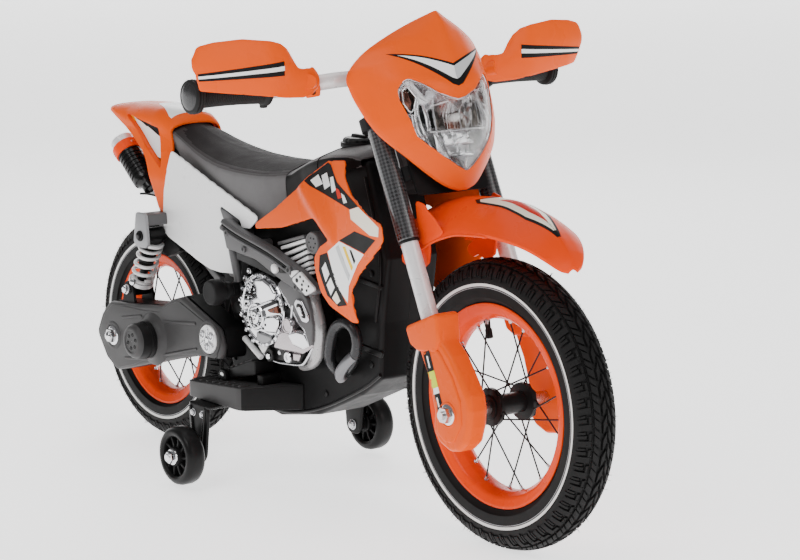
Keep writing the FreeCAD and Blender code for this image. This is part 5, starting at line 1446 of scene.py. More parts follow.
# --------------------------------------------------------------- side panels
PAN = [(-634, 423.5), (-411, 359.5), (-432.5, 342.3), (-453, 340.8), (-457.5, 350), (-509, 364.5), (-499, 348), (-493, 336), (-481, 317.5), (-471, 296.5),
       (-460, 278), (-509, 273.5), (-535, 274.2), (-565, 281), (-605, 292.6), (-645, 303.2), (-657, 309.6), (-658.5, 335), (-655.5, 367), (-646, 398)]
PANR = [6, 3, 3, 3, 4, 3, 10, 20, 30, 30, 4, 20, 30, 40, 60, 8, 6, 20, 40, 20]


def panel_y(x, z):
    return -70.4 - 0.054 * (x + 470) - 1.4 * max(0.0, 1 - ((x + 565) / 85.0) ** 2) * max(0.0, 1 - ((z - 350) / 75.0) ** 2)


pn = panel("side", round_poly(PAN, PANR), lambda x, z: (x, panel_y(x, z), z), 3.2, WHITE, (0, -1, 0), step=6.0, bev=1.5, seg=3)
pn2 = mirrored(pn, "side_l")
ride(join("side_panel_pair", [pn, pn2]), "frame", ["side_panels"])

# ----------------------------------------------------------------- tail cowl
# x, half width at the shoulder, crown z, side edge z; the legs spread lower down
TAILK = [(-840, 27, 466, 461), (-828, 36, 469, 459), (-800, 41, 472.5, 450), (-769, 44, 474.5, 438), (-743, 45, 475.5, 425), (-726, 45, 475.6, 416), (-709, 45, 475.5, 403),
         (-695, 44.5, 474, 384), (-680, 43.5, 470.5, 360), (-667, 42, 464, 338), (-661, 40.5, 457, 335), (-652, 39.5, 452, 335), (-641, 39, 450, 336)]
LEG_W, LEG_Z, WAIST_Z = 59.8, 388.0, 442.0


def tail_w(x, z):
    """Half width of the cowl's side at a height."""
    f = min(1.0, max(0.0, (z - LEG_Z + 8) / (WAIST_Z - LEG_Z + 8)))
    f = 0.5 * f + 0.5 * f * f * (3 - 2 * f)
    return LEG_W + (hermite(TAILK, x)[0] - LEG_W) * f


def tail_row(x):
    hw, zt, ze = hermite(TAILK, x)
    zs = max(ze + 0.2 * (zt - ze), zt - 25.0)
    row = [(-tail_w(x, ze + (zs - ze) * t), ze + (zs - ze) * t) for t in spread(0, 1, 18)]
    w = -row[-1][0]
    for i in range(1, 13):
        a = math.pi / 2 * i / 12
        row.append((-w * math.cos(a) ** 0.74 if i < 12 else 0.0, zs + (zt - zs) * math.sin(a) ** 0.84))
    row = [(x, y, z) for y, z in row]
    return row + [(px, -py, pz) for px, py, pz in reversed(row[:-1])]


g = [tail_row(x) for x in spread(-840, -641, 70)]
tl = grid("tail_skin", g, ORANGE)
orient(tl, (0, 0, 1))
solid(tl, 2.6)
bake(tl)


def through(poly, y0, y1):
    m = len(poly)
    verts = [(x, y0, z) for x, z in poly] + [(x, y1, z) for x, z in poly]
    return new_obj("tool", verts, [tuple(range(m)), tuple(range(2 * m - 1, m - 1, -1))] + [(i, (i + 1) % m, m + (i + 1) % m, m + i) for i in range(m)], ORANGE)


# front edge: an arch over the seat, its legs leaning forward and then tapering to points
cut(tl, through(round_poly([(-661.5, 500), (-661.5, 455), (-666, 446), (-653.5, 420), (-648, 397), (-652, 366), (-659, 331), (-600, 331), (-600, 500)], [0.1, 4, 8, 20, 20, 20, 2, 0.1, 0.1]), -120, 120))
REC = [(-783, 462.5), (-737, 455), (-692, 447.5), (-679.5, 419), (-666.5, 392.5), (-692, 407), (-718, 421.5), (-759, 449)]
rec_p = round_poly(REC, [2, 40, 4, 30, 2, 30, 30, 20])
for k in (-1, 1):
    cut(tl, through(rec_p, k * 25, k * 100))
bevel(tl, 1.0, 2, 45)
bake(tl)
by_angle(tl, 38)
bits = [tl]
for k in (-1, 1):
    bits.append(panel("inner", rec_p, lambda x, z, k=k: (x, k * (tail_w(x, z) - 8.0), z), 2.0, BLACK, (0, k, 0), step=8, bev=0))
    # walls of the recess
    n2 = len(rec_p)
    vv = [(x, k * (tail_w(x, z) - 1.2), z) for x, z in rec_p] + [(x, k * (tail_w(x, z) - 9.0), z) for x, z in rec_p]
    w = new_obj("wall", vv, [(i, (i + 1) % n2, n2 + (i + 1) % n2, n2 + i) for i in range(n2)], ORANGE)
    solid(w, 1.2, 0.0)
    bake(w)
    by_angle(w, 30)
    bits.append(w)
    for poly, mm, off in (([(-764, 457), (-725, 445), (-686, 431), (-673, 406), (-690, 407.5), (-716, 422), (-756, 448.5)], DECAL_WHITE, 6.6), ([(-779, 461.5), (-766, 458.5), (-757, 450), (-764, 452)], DECAL_YELLOW, 6.5)):
        bits.append(panel("stripe", poly, lambda x, z, k=k, off=off: (x, k * (tail_w(x, z) - off), z), 0.5, mm, (0, k, 0), step=8, bev=0))
# dark bulkhead inside the arch
bh = panel("bulkhead", [(-38, 420), (-40, 436), (-36, 448), (-24, 456), (0, 459), (24, 456), (36, 448), (40, 436), (38, 420)], lambda y, z: (-676.0, y, z), 2.0, BLACK, (1, 0, 0), step=8, bev=0)
bits.append(bh)
tail_tree = bvh_of(tl)
patch = decal("patch", [(-738, -12), (-731, -16), (-680, -34), (-674, -34), (-674, 34), (-680, 34), (-731, 16), (-738, 12)], lambda x, y: (x, y, 560.0), (0, 0, -1), tail_tree, DECAL_WHITE, lift=0.35, step=5)
ride(join("tail_cowl_moulding", bits), "frame", ["tail_cowl"])
ride(patch, "frame")

# ------------------------------------------------------------------ silencer
sd = Vector((-68, -4, 62)).normalized()
s0 = Vector((-719, -40.5, 359))
su = sd.orthogonal().normalized()
sv = sd.cross(su)


def turned(prof, material, seg=48):
    verts, faces = [], []
    for r, a in prof:
        for i in range(seg):
            t = 2 * math.pi * i / seg
            verts.append(tuple(s0 + sd * (a * 1.1) + su * (r * math.cos(t)) + sv * (r * math.sin(t))))
    for j in range(len(prof) - 1):
        for i in range(seg):
            k = (i + 1) % seg
            faces.append((j * seg + i, j * seg + k, (j + 1) * seg + k, (j + 1) * seg + i))
    o = new_obj("turned", verts, faces, material)
    by_angle(o, 30)
    return o


prof = [(0.2, 0.5), (9.5, 0.5), (10.0, 2), (10.0, 8), (13, 12), (16.6, 14), (17.2, 16)]
a = 18.0
while a < 58:
    prof += [(17.4, a), (17.4, a + 2.6), (15.9, a + 3.2), (15.9, a + 4.6), (17.4, a + 5.2)]
    a += 6.0
prof += [(17.6, 60), (17.6, 60.8)]
bits = [turned(prof, BLACK_GLOSS), turned([(15.0, 60.6), (19.0, 60.8), (19.6, 61.6), (19.6, 73.2), (19.0, 74.0), (15.0, 74.2)], ORANGE_RED),
        turned([(14.8, 74), (16.8, 74.2), (16.8, 83.2), (16.0, 84), (14.6, 84), (13.8, 82), (13.5, 74), (0.2, 73.5)], SILVER)]
bits.append(cyl(s0 + sd * 2, (-700, -34, 374), 6.0, BLACK_GLOSS, seg=24))
for k in range(3):
    t = 2 * math.pi * k / 3 + 0.4
    p = s0 + sd * 74.1 + su * (19.4 * math.cos(t)) + sv * (19.4 * math.sin(t))
    bits.append(cyl(p, p + (su * math.cos(t) + sv * math.sin(t)) * 1.0, 2.4, CHROME_SOFT, seg=14, cap_bevel=0.4))
ride(join("silencer_can", bits), "frame", ["silencer"])


# -------------------------------------------------------------------- engine
def disc(cx, cz, prof, material, seg=64, ang=30):
    """Turned cover about an axis along y; profile of (radius, y)."""
    return lathe("disc", prof, cx, cz, seg, material, closed=False, ang=ang)


def lean(o, x0, k, y0):
    """Turns the outer face of a plate ahead of x0 away by a slope k."""
    for v in o.data.vertices:
        x, y = v.co.x * 1000 - OX, v.co.y * 1000
        if y < y0 and x > x0:
            v.co.y += (x - x0) * k / 1000.0
    return o


def make_engine():
    b = []
    # crank case, dark, with a bright rolled edge along its foot
    case = [(-412, 190), (-397, 177.5), (-371, 176), (-316, 179.5), (-296, 203), (-284, 229), (-288, 246), (-300, 268), (-340, 276), (-366, 280), (-398, 289), (-424, 287), (-441, 270), (-451, 243), (-442, 214)]
    b.append(prism("case", case, -71.5, -42, BLACK_SATIN, r=8, bev=2.5, seg=4))
    b.append(tube(smooth_path([(-404, -71, 181), (-375, -73, 175.5), (-346, -73, 177), (-318, -73, 181), (-304, -73, 194), (-295, -73, 206), (-288, -72, 218)], 8), 1.7, CHROME_SOFT, seg=12))
    # clutch cover: stepped ring with bolts, bright domes and a toothed hub
    cx, cz = -402.0, 240.0
    b.append(disc(cx, cz, [(48.5, -70), (48.5, -74.6), (47.2, -76.2), (43.5, -76.8), (42.0, -75.6), (39.5, -75.6), (38.4, -77.2), (0.05, -77.2)], CHROME, 84))
    b.append(disc(cx, cz, [(41.6, -75.4), (40.9, -76.3), (40.1, -75.4)], BLACK_SATIN, 84))
    for k in range(26):
        a = 2 * math.pi * k / 26
        p = (cx + 45.4 * math.cos(a), -76.2, cz + 45.4 * math.sin(a))
        b.append(cyl(p, (p[0], -78.4, p[2]), 1.8 if k % 2 else 2.5, CHROME_SOFT if k % 2 else CHROME, seg=10, cap_bevel=0.6))
        if k % 2:
            q = (cx + 45.4 * math.cos(a + 0.1), -75.9, cz + 45.4 * math.sin(a + 0.1))
            b.append(cyl(q, (q[0], -76.9, q[2]), 1.0, BLACK_SATIN, seg=8))
    # two domes, cushions inside sector outlines, and the plain foot under them
    b.append(prism("dome", [(-405, 281), (-389, 283), (-374, 278), (-362, 268), (-366, 259), (-395, 249), (-405, 259), (-410, 268), (-413, 275)], -83.6, -76.5, CHROME, r=5, bev=6.0, seg=8))
    b.append(prism("dome", [(-383, 235), (-366, 239), (-355.5, 238), (-356, 227), (-363, 216), (-383, 213.5), (-395, 221), (-388, 228)], -84.0, -76.5, CHROME, r=5, bev=6.0, seg=8))
    b.append(prism("foot", [(-409, 212), (-374, 209), (-382, 200), (-395, 196), (-408, 199)], -81.0, -76.5, PLATE, r=4, bev=3.5, seg=6))
    # dark seam and the bar between the halves, with a facet at its end tinted brown as a painted reflection
    b.append(prism("seam", [(-424, 236), (-421, 232.5), (-363, 255), (-364, 259), (-396, 247)], -79.4, -76.5, BLACK_SATIN, r=1.2, bev=0.8, seg=2))
    b.append(prism("bar", [(-423, 239), (-420, 236.5), (-372, 255.5), (-374, 258)], -81.4, -76, CHROME_SOFT, r=1.2, bev=1.0, seg=3))
    b.append(prism("facet", [(-387, 242.5), (-361, 252.5), (-358.5, 241.5), (-378, 240)], -80.4, -76.5, AMBER_AND_PAINTED_REFLECTION, r=2, bev=1.4, seg=3))
    for z in (243.5, 247.5):
        b.append(cyl((-369, -80.2, z), (-369, -81.0, z + 0.2), 1.1, CHROME, seg=10))
    hx, hz = -411.0, 230.0
    b.append(disc(hx, hz, [(18.0, -76.8), (18.0, -79.4), (16.8, -80.6), (15.2, -80.6), (14.6, -79.4), (9.8, -79.4), (9.2, -81.6), (6.0, -82.4), (5.4, -81.4), (0.05, -81.4)], CHROME, 56))
    for k in range(16):
        a = 2 * math.pi * k / 16 + 0.2
        p0, p1 = (hx + 12.2 * math.cos(a), hz + 12.2 * math.sin(a)), 2.0 if k % 2 else 1.5
        b.append(cyl((p0[0], -79.0, p0[1]), (p0[0], -81.2, p0[1]), p1, CHROME_SOFT if k % 2 else BLACK_SATIN, seg=8, cap_bevel=0.4))
    for k in range(3):
        a = 2 * math.pi * k / 3 + 0.5
        b.append(cyl((hx + 3.0 * math.cos(a), -81.2, hz + 3.0 * math.sin(a)), (hx + 3.0 * math.cos(a), -82.2, hz + 3.0 * math.sin(a)), 1.2, BLACK_SATIN, seg=8))
    # small castings that sparkle at the rear of the cover
    rnd = random.Random(5)
    for k in range(64):
        a = math.radians(rnd.uniform(118, 232))
        rr = rnd.uniform(20, 39)
        x, z = cx + rr * math.cos(a), cz + rr * math.sin(a)
        if math.hypot(x - hx, z - hz) < 18.5:
            continue
        r = rnd.uniform(1.1, 2.6)
        b.append(cyl((x, -77.0, z), (x, -77.8 - rnd.uniform(0.4, 2.4), z), r, (CHROME, CHROME_SOFT, BLACK_SATIN)[k % 3], r2=r * 0.75, seg=8, cap_bevel=0.3))
    for k in range(4):
        b.append(tube(smooth_path([(-428 + 3 * k, -78, 262 + 4 * k), (-434 + 4 * k, -79, 270 + 3 * k), (-424 + 5 * k, -78.4, 276 + 2.5 * k)], 5), 1.3, CHROME if k % 2 else CHROME_SOFT, seg=8))
    for x, z in ((-383, 224), (-388, 218.5), (-396, 212.5)):
        b.append(cyl((x, -83.4, z), (x, -84.4, z), 1.9, BLACK_SATIN, seg=14))
    # sump cover in mauve metal whose tint is a painted reflection, with a chrome piece where the highlight falls; its
    # forward half turned away
    pink = [(-367, 196), (-353, 219), (-344, 223.5), (-314, 227.5), (-301, 226), (-289, 209), (-309, 197), (-343, 196)]
    b.append(lean(prism("sump", pink, -85.5, -71, MAUVE_PAINTED_REFLECTION, r=4, bev=4.0, seg=6), -326.0, 0.28, -77.0))
    b.append(lean(prism("gloss", [(-333, 221), (-316, 226.5), (-303, 225), (-293, 210), (-306, 203), (-322, 207)], -86.4, -80, CHROME, r=4, bev=3.0, seg=6), -326.0, 0.28, -79.0))
    b.append(prism("lip", [(-363, 195.5), (-343, 195), (-311, 196), (-306, 199), (-318, 184), (-338, 180), (-354, 181)], -77.0, -71, BLACK_SATIN, r=2, bev=1.5))
    b.append(prism("lip2", [(-330, 195), (-312, 196.5), (-318, 186), (-328, 185)], -79.5, -76, MAUVE_PAINTED_REFLECTION, r=2, bev=1.5))
    # filler cap with a stalk, bolt below, and the oval trim behind the header
    b.append(disc(-332, 231, [(10.0, -72), (10.0, -86.0), (9.2, -87.2), (8.0, -87.2), (7.4, -86.2), (0.05, -86.2)], MAUVE_PAINTED_REFLECTION, 36))
    b.append(disc(-332, 231, [(10.6, -84.6), (10.8, -85.6), (10.2, -86.4)], CHROME, 36))
    b.append(cyl((-331, -80, 239), (-329, -79, 257), 1.5, CHROME_SOFT, seg=12))
    b.append(disc(-339, 188, [(7.2, -72), (7.2, -80.4), (6.2, -81.6), (3.4, -81.6), (3.0, -80.4), (0.05, -80.4)], CHROME, 28))
    # grey web that runs from the end of the rail down beside the header, with a thin bright edge
    web = [(-364, 279), (-352, 270), (-340, 259), (-329, 249), (-319, 238), (-307, 231), (-300, 222), (-294, 208), (-288, 216), (-287, 238), (-292, 255), (-300, 270), (-314, 281), (-332, 286), (-352, 288)]
    b.append(prism("web", web, -79.0, -66, GREY, r=4, bev=1.6, seg=3))
    b.append(tube(smooth_path([(-362, -77.6, 277.6), (-352, -78.2, 269.2), (-340, -78.2, 258.2), (-329, -78.2, 248.2), (-319, -78.2, 237.2), (-307, -78.2, 230.2), (-300, -78.0, 221), (-295, -77.4, 209)], 6), 1.2, CHROME_SOFT, seg=10))
    b.append(prism("oval", [(-323, 260), (-318, 268), (-306, 267.5), (-292, 250), (-291, 243), (-297, 239), (-306, 240)], -82.5, -76, CHROME_SOFT, r=5, bev=1.8, seg=4))
    b.append(prism("ovalf", [(-317, 259), (-313, 263), (-305, 262), (-296, 249), (-297, 245), (-304, 245)], -83.4, -81, BLACK_SATIN, r=4, bev=0.8, seg=3))
    b.append(prism("ovalm", [(-312, 258), (-307, 260), (-299, 249), (-303, 247)], -85.4, -82, CHROME, r=2, bev=1.1, seg=4))
    # rough casting between the covers
    rnd = random.Random(11)
    for k in range(60):
        x, z = rnd.uniform(-362, -318), rnd.uniform(224, 268)
        if z > 262 - (x + 358) * 0.95 or z < 226 or math.hypot(x - cx, z - cz) < 50 or math.hypot(x + 332, z - 231) < 12:
            continue
        h = rnd.uniform(1.0, 4.0)
        r = rnd.uniform(1.4, 3.2)
        b.append(cyl((x, -71, z), (x, -72 - h, z), r, BLACK_SATIN if k % 7 else CHROME_SOFT, r2=r * 0.8, seg=8, cap_bevel=0.4))
    # strut and lower boss
    b.append(cyl((-449, -71, 195), (-408, -73, 175.5), 4.0, SILVER, seg=18, cap_bevel=0.8))
    b.append(prism("ped", [(-413, 192), (-391, 194), (-392, 188), (-401, 182)], -76.0, -71, SILVER, r=1.5, bev=1.0))
    b.append(disc(-386, 183, [(9.0, -71), (9.0, -76.0), (8.0, -77.0), (5.0, -77.0), (4.6, -75.0), (0.05, -75.0)], BLACK_SATIN, 32))
    b.append(disc(-386, 181, [(4.0, -74.5), (4.0, -78.0), (3.2, -78.8), (0.05, -78.8)], CHROME, 20))
    # bolts up the rear edge
    for x, z, r in ((-440, 276, 4.0), (-431, 287, 4.4), (-449, 262, 3.4), (-452, 246, 3.4), (-450, 226, 3.6), (-440, 208, 3.4), (-424, 196, 3.4)):
        b.append(cyl((x, -66, z), (x, -75.5, z), r, CHROME_SOFT, seg=16, cap_bevel=0.8))
        b.append(cyl((x, -75, z), (x, -77.0, z), r * 0.6, CHROME, seg=6, cap_bevel=0.3))
    # barrel with eight cooling fins, growing towards the top
    b.append(cyl((-336, -56, 268), (-304, -56, 346), 14.5, BLACK_SATIN, seg=32))
    fins = (((-369, 331), (-311, 348)), ((-362, 326), (-309, 343)), ((-354, 318.5), (-307, 336.5)), ((-346, 312), (-304, 329.5)), ((-337, 307), (-302, 322.5)),
            ((-328, 303), (-300, 315.5)), ((-319, 300.5), (-298, 309)), ((-309, 298.5), (-297, 303)))
    for k, (p, q) in enumerate(fins):
        p, q = Vector((p[0], 0, p[1])), Vector((q[0], 0, q[1]))
        d = (q - p).normalized()
        n = Vector((-d.z, 0, d.x)) * (2.1 if k < 6 else 1.7)
        poly = [(v.x, v.z) for v in (p - n, q - n, q + n, p + n)]
        b.append(prism("fin", poly, -73.5, -42, SILVER if k else GREY, r=1.4, bev=0.7, seg=2))
    b.append(prism("back", [(-372, 330), (-360, 318), (-306, 292), (-292, 300), (-300, 345), (-312, 351)], -66, -42, BLACK_SATIN, r=4, bev=1.5))
    # round cap at the top of the fins, with a ring of dimples
    b.append(disc(-287, 343, [(14.2, -44), (14.2, -77.6), (13.0, -79.2), (10.8, -79.2), (10.2, -78.4), (0.05, -78.4)], GREY, 40))
    for k in range(6):
        a = 2 * math.pi * k / 6
        b.append(cyl((-287 + 6.6 * math.cos(a), -78.0, 343 + 6.6 * math.sin(a)), (-287 + 6.6 * math.cos(a), -78.9, 343 + 6.6 * math.sin(a)), 1.2, BLACK_SATIN, seg=10))
    return join("engine", b)


both_sides(make_engine, "engine_dress", "frame", ["engine_covers"])


# ----------------------------------------------------------- diagonal rails
def make_rail():
    b = []
    beam = [(-484, 350), (-474, 351.5), (-444, 341), (-371, 326), (-305, 305), (-270, 285.5), (-276, 279), (-296, 274.5), (-353, 289), (-403, 306), (-456, 311), (-470, 312)]
    b.append(prism("beam", beam, -84.5, -72, GREY, r=5, bev=2.4, seg=4))
    # two rolled edges and the groove between them
    for off, r in ((0.0, 2.6), (9.0, 2.2)):
        pts = smooth_path([(-478, -84.6, 347 - off), (-444, -85.2, 337.5 - off), (-371, -85.6, 322.5 - off), (-322, -85.6, 308 - off)], 8)
        b.append(tube(pts, r, GREY, seg=12))
    pts = smooth_path([(-478, -84.9, 343), (-444, -85.0, 333), (-371, -85.0, 318), (-326, -85.0, 305)], 8)
    b.append(tube(pts, 1.7, BLACK_SATIN, seg=10))
    b.append(prism("web", [(-455, 313), (-404, 308), (-356, 292), (-368, 288), (-420, 296), (-452, 300)], -80, -70, BLACK_SATIN, r=3, bev=1.2))
    # perforated end plate
    plate = [(-320, 293), (-301, 305.5), (-267, 287), (-289, 276.5)]
    b.append(prism("plate", plate, -88.0, -84.0, SILVER, r=3, bev=1.0, seg=3))
    for x, z, r in ((-307, 293.5, 3.0), (-300, 299, 1.9), (-293, 294.5, 1.7), (-296, 289.5, 2.0), (-296, 283.5, 2.2), (-286, 283.5, 1.9), (-282, 289.5, 1.7)):
        b.append(cyl((x, -87.8, z), (x, -88.25, z), r, BLACK_SATIN, seg=16))
    # round bolt, its spring clip and a small plain plate, its silver partly a painted highlight
    b.append(cyl((-356, -84, 302), (-356, -90.0, 302), 6.4, SILVER, seg=28, cap_bevel=2.0))
    b.append(cyl((-340, -84, 303), (-340, -87.4, 303), 4.6, BLACK_SATIN, seg=20, cap_bevel=1.0))
    b.append(prism("clip", [(-350, 309), (-333, 306), (-331, 299), (-348, 297)], -86.6, -84, BLACK_SATIN, r=2, bev=0.8))
    b.append(cyl((-326, -84, 304), (-326, -88.6, 304), 5.2, GREY, seg=24, cap_bevel=1.2))
    b.append(cyl((-326, -88.3, 304), (-326, -89.0, 304), 2.6, BLACK_SATIN, seg=16))
    b.append(prism("pale", [(-330, 300), (-316, 305), (-303, 306.5), (-322, 294.5)], -86.4, -84, SILVER, r=1.5, bev=0.8))
    # open end of the tube along the top
    b.append(cyl((-474, -83.5, 338), (-480, -84, 340), 4.2, GREY, seg=20, cap_bevel=0.6))
    b.append(cyl((-476, -84.6, 338.6), (-480.4, -84.8, 340.1), 2.4, BLACK_SATIN, seg=16))
    for x, z in ((-472, 332), (-430, 320)):
        b.append(cyl((x, -73, z), (x, -42, z), 7.0, GREY, seg=20))
    # down-tube that carries on to the peg
    b.append(tube(smooth_path([(-470, -76, 318), (-466, -74, 296), (-466, -68, 268)], 8), 5.5, GREY, seg=14))
    return join("rail", b)


both_sides(make_rail, "frame_rail_pair", "frame", ["frame_rails"])


# --------------------------------------------------------------------- pipes
def make_pipes():
    b = []
    hd = smooth_path([(-312, -58, 284), (-306, -64, 272), (-296, -66, 254), (-288, -66, 234), (-289, -66, 213), (-298, -64, 195), (-318, -58, 182), (-345, -50, 174)], 8)
    b.append(tube(hd, 8.6, PIPE_LIGHT, seg=24))
    b.append(cyl(hd[4], hd[7], 10.2, PIPE_LIGHT, seg=28, cap_bevel=1.5))
    up = smooth_path([(-283, -46, 178), (-275, -60, 194), (-268, -63, 220), (-258, -63, 238), (-240, -63, 246.5), (-223, -62, 241), (-218, -60, 223), (-230, -56, 202), (-247, -52, 186), (-262, -44, 178)], 9)
    b.append(tube(up, 7.2, PIPE_DARK, seg=24))
    b.append(tube(smooth_path([(-228, -58, 205), (-238, -62, 195), (-250, -63, 180), (-252, -58, 172)], 8), [7.2] * 25, PIPE, seg=20))
    return join("pipes", b)


both_sides(make_pipes, "exhaust_pipe_runs", "frame", ["exhaust_pipe"])


# ------------------------------------------------- ribs and joint lines of the body
def make_body_trim():
    b = []
    # lower skirt with long rolled ribs, and the strap between the two halves of the frame
    for pts, r in (([(-196, -40.8, 184), (-238, -40.8, 157), (-330, -40.8, 116), (-414, -40.8, 99.5), (-498, -40.8, 111)], 2.4),
                   ([(-205, -40.6, 250), (-196, -40.6, 330), (-226, -40.6, 430)], 2.0),
                   ([(-452, -40.6, 300), (-500, -40.6, 268), (-530, -40.6, 205), (-515, -40.6, 150)], 2.2)):
        b.append(tube(smooth_path(pts, 10), r, BLACK_SATIN, seg=10))
    b.append(prism("gus", [(-470, 300), (-440, 250), (-452, 204), (-498, 196), (-520, 246)], -50, -40, BLACK_SATIN, r=8, bev=3.0, seg=4))
    b.append(prism("lug", [(-520, 312), (-470, 300), (-468, 270), (-500, 268)], -60, -40, GREY, r=6, bev=2.5, seg=4))
    for x, z in ((-460, 232), (-474, 228)):
        b.append(cyl((x, -44, z), (x, -66, z + 2), 9.0, BLACK_SATIN, seg=24, cap_bevel=2.0))
    for k in range(3):
        b.append(cyl((-447 + 4.0 * k, -62, 262), (-444 + 4.0 * k, -62, 262), 6.0 - 0.5 * k, CHROME_SOFT, seg=24, cap_bevel=0.7))
    b.append(prism("gusset", [(-508, 362.5), (-462, 349), (-470, 338), (-500, 347)], -69.0, -64.0, GREY, r=2, bev=1.2))
    b.append(prism("strut", [(-582, 288), (-573, 292), (-521, 264), (-528, 255)], -60, -50, GREY, r=3, bev=2.0, seg=4))
    # front guard behind the wheel, a broad strap with two raised edges
    for z0, z1 in ((206, 214), (292, 298)):
        b.append(prism("st", [(-193, z0), (-189, z1), (-238, z1 + 4), (-240, z0 + 4)], -42.0, -39, BLACK_SATIN, r=2, bev=0.9))
    for x, z in ((-214, 194), (-214, 310), (-310, 140), (-420, 112), (-506, 130)):
        b.append(bolt((x, -39.8, z), (0, -1, 0), 4.2, 2.2, BLACK_SATIN))
    return join("trim", b)


both_sides(make_body_trim, "body_ribs", "frame")


# ------------------------------------------------------------------ screw heads
def make_screws():
    b = []
    for x, z in ((-466, 334), (-428, 317), (-312, 284)):
        b.append(cyl((x, -84, z), (x, -87.6, z), 4.4, GREY, seg=24, cap_bevel=1.0))
        b.append(cyl((x, -87.4, z), (x, -87.9, z), 2.2, BLACK_SATIN, seg=6))
    for x, z in ((-362, 190), (-304, 254)):
        b.append(cyl((x, -74, z), (x, -77.6, z), 3.2, CHROME_SOFT, seg=16, cap_bevel=0.8))
    for k in range(3):
        a = math.pi / 2 + 2 * math.pi * k / 3
        x, z = -490 + 12 * math.cos(a), 190 + 12 * math.sin(a)
        b.append(cyl((x, -101, z), (x, -103.8, z), 2.8, CHROME_SOFT, seg=16, cap_bevel=0.7))
    return join("screws", b)


both_sides(make_screws, "screw_heads", "frame", ["fasteners"])


# ------------------------------------------------------------------ swingarm
PIV, MOTOR, RAX = (-490.0, 190.0), (-627.7, 168.6), (-730.0, 157.0)
TWX, TWZ = -473.0, 44.5


def arm_plate(y0, y1, grow, r, bev, material, seg=5):
    arm = [(-777, 156), (-762, 184), (-741, 204), (-660, 211), (-607, 217), (-584, 229), (-557, 237), (-470, 206), (-461, 184), (-463, 165), (-511, 164), (-622, 136), (-690, 117), (-726, 108), (-752, 122)]
    cx, cz = -620.0, 172.0
    out = []
    for x, z in arm:
        d = math.hypot(x - cx, z - cz)
        out.append((x + (x - cx) / d * grow, z + (z - cz) / d * grow))
    return prism("arm", out, y0, y1, material, r=r, bev=bev, seg=seg)


b = [arm_plate(-98.5, -88.3, 0.0, 14, 5.0, GREY_DARK)]
b.append(arm_plate(-99.6, -97.0, -9.0, 12, 1.2, GREY_DARK, 3))
# shoulder that swells towards the motor, two long ribs and the pivot boss
b.append(lathe("shoulder", [(37, -97.5), (36.0, -99.8), (31.0, -101.5), (27.6, -104.5), (26.2, -108), (0.5, -108)], MOTOR[0], MOTOR[1], 56, GREY_DARK, closed=False, ang=50))
for p, q, r in (((-600, 196), (-522, 206), 2.6), ((-602, 150), (-520, 172), 2.2), ((-700, 130), (-640, 138), 2.2), ((-706, 186), (-656, 196), 2.2)):
    b.append(tube([(p[0], -98.6, p[1]), (0.5 * (p[0] + q[0]), -99.4, 0.5 * (p[1] + q[1])), (q[0], -98.6, q[1])], r, GREY_DARK, seg=12))
b.append(lathe("boss", [(25.0, -98.0), (24.4, -100.0), (22.6, -100.8), (20.6, -100.8), (20.2, -97.8), (9.5, -97.8)], PIV[0], PIV[1], 48, GREY_DARK, closed=False, ang=40))
b.append(lathe("axle_boss", [(21.0, -98.0), (20.2, -99.8), (18.0, -100.6), (15.6, -100.6), (14.6, -97.4), (6.5, -97.4)], RAX[0], RAX[1], 44, GREY_DARK, closed=False, ang=40))
# motor can with a rounded end and six vents
b.append(lathe("can", [(25.0, -104), (24.6, -112), (24.2, -126), (23.6, -129.0)], MOTOR[0], MOTOR[1], 60, BLACK, closed=False, ang=35))
b.append(lathe("end", [(23.6, -128.8), (23.0, -131.2), (21.0, -133.6), (18.4, -134.9), (16.0, -134.9), (15.2, -133.8), (0.5, -133.6)], MOTOR[0], MOTOR[1], 60, GREY_DARK, closed=False, ang=50))
b.append(lathe("band", [(25.0, -112), (25.8, -112.6), (25.8, -115.4), (25.0, -116)], MOTOR[0], MOTOR[1], 60, BLACK, closed=True, ang=35))
for k in range(6):
    a = 2 * math.pi * k / 6 + 0.3
    p = (MOTOR[0] + 9.6 * math.cos(a), MOTOR[1] + 9.6 * math.sin(a))
    b.append(lathe("vent", [(2.7, -133.4), (2.7, -134.3), (1.9, -134.5), (1.9, -133.9), (0.2, -133.9)], p[0], p[1], 16, BLACK_GLOSS, closed=False, ang=30))
gear_o = ride(join("gearbox_cover_skin", b), "swingarm", ["gearbox_cover"])
# left arm: same outline, with a shallow web
b = [arm_plate(58.2, 88.0, 0.0, 14, 5.0, GREY_DARK)]
b.append(lathe("bl", [(9.5, 87.0), (18.0, 87.0), (20.0, 88.6), (20.0, 95.0), (18.4, 97.0), (9.5, 97.0)], PIV[0], PIV[1], 44, GREY_DARK, closed=True, ang=40))
b.append(lathe("al", [(6.0, 86.0), (15.0, 86.0), (16.0, 88.0), (6.0, 88.0)], RAX[0], RAX[1], 40, GREY_DARK, closed=True, ang=40))
for p, q, r in (((-700, 176), (-540, 208), 3.0), ((-700, 140), (-540, 172), 3.0)):
    b.append(tube([(p[0], 87.6, p[1]), (0.5 * (p[0] + q[0]), 88.0, 0.5 * (p[1] + q[1])), (q[0], 87.6, q[1])], r, GREY_DARK, seg=12))
lug = [(-718, 196), (-682, 199), (-689, 231), (-694.5, 236.5), (-705.5, 236.5), (-711, 231)]
b.append(prism("lug", lug, 87.5, 92.0, GREY_DARK, r=5, bev=1.2))
b.append(prism("lug", lug, 58.0, 61.4, GREY_DARK, r=5, bev=1.0))
ride(join("swingarm_left_skin", b), "swingarm", ["swingarm_left"])
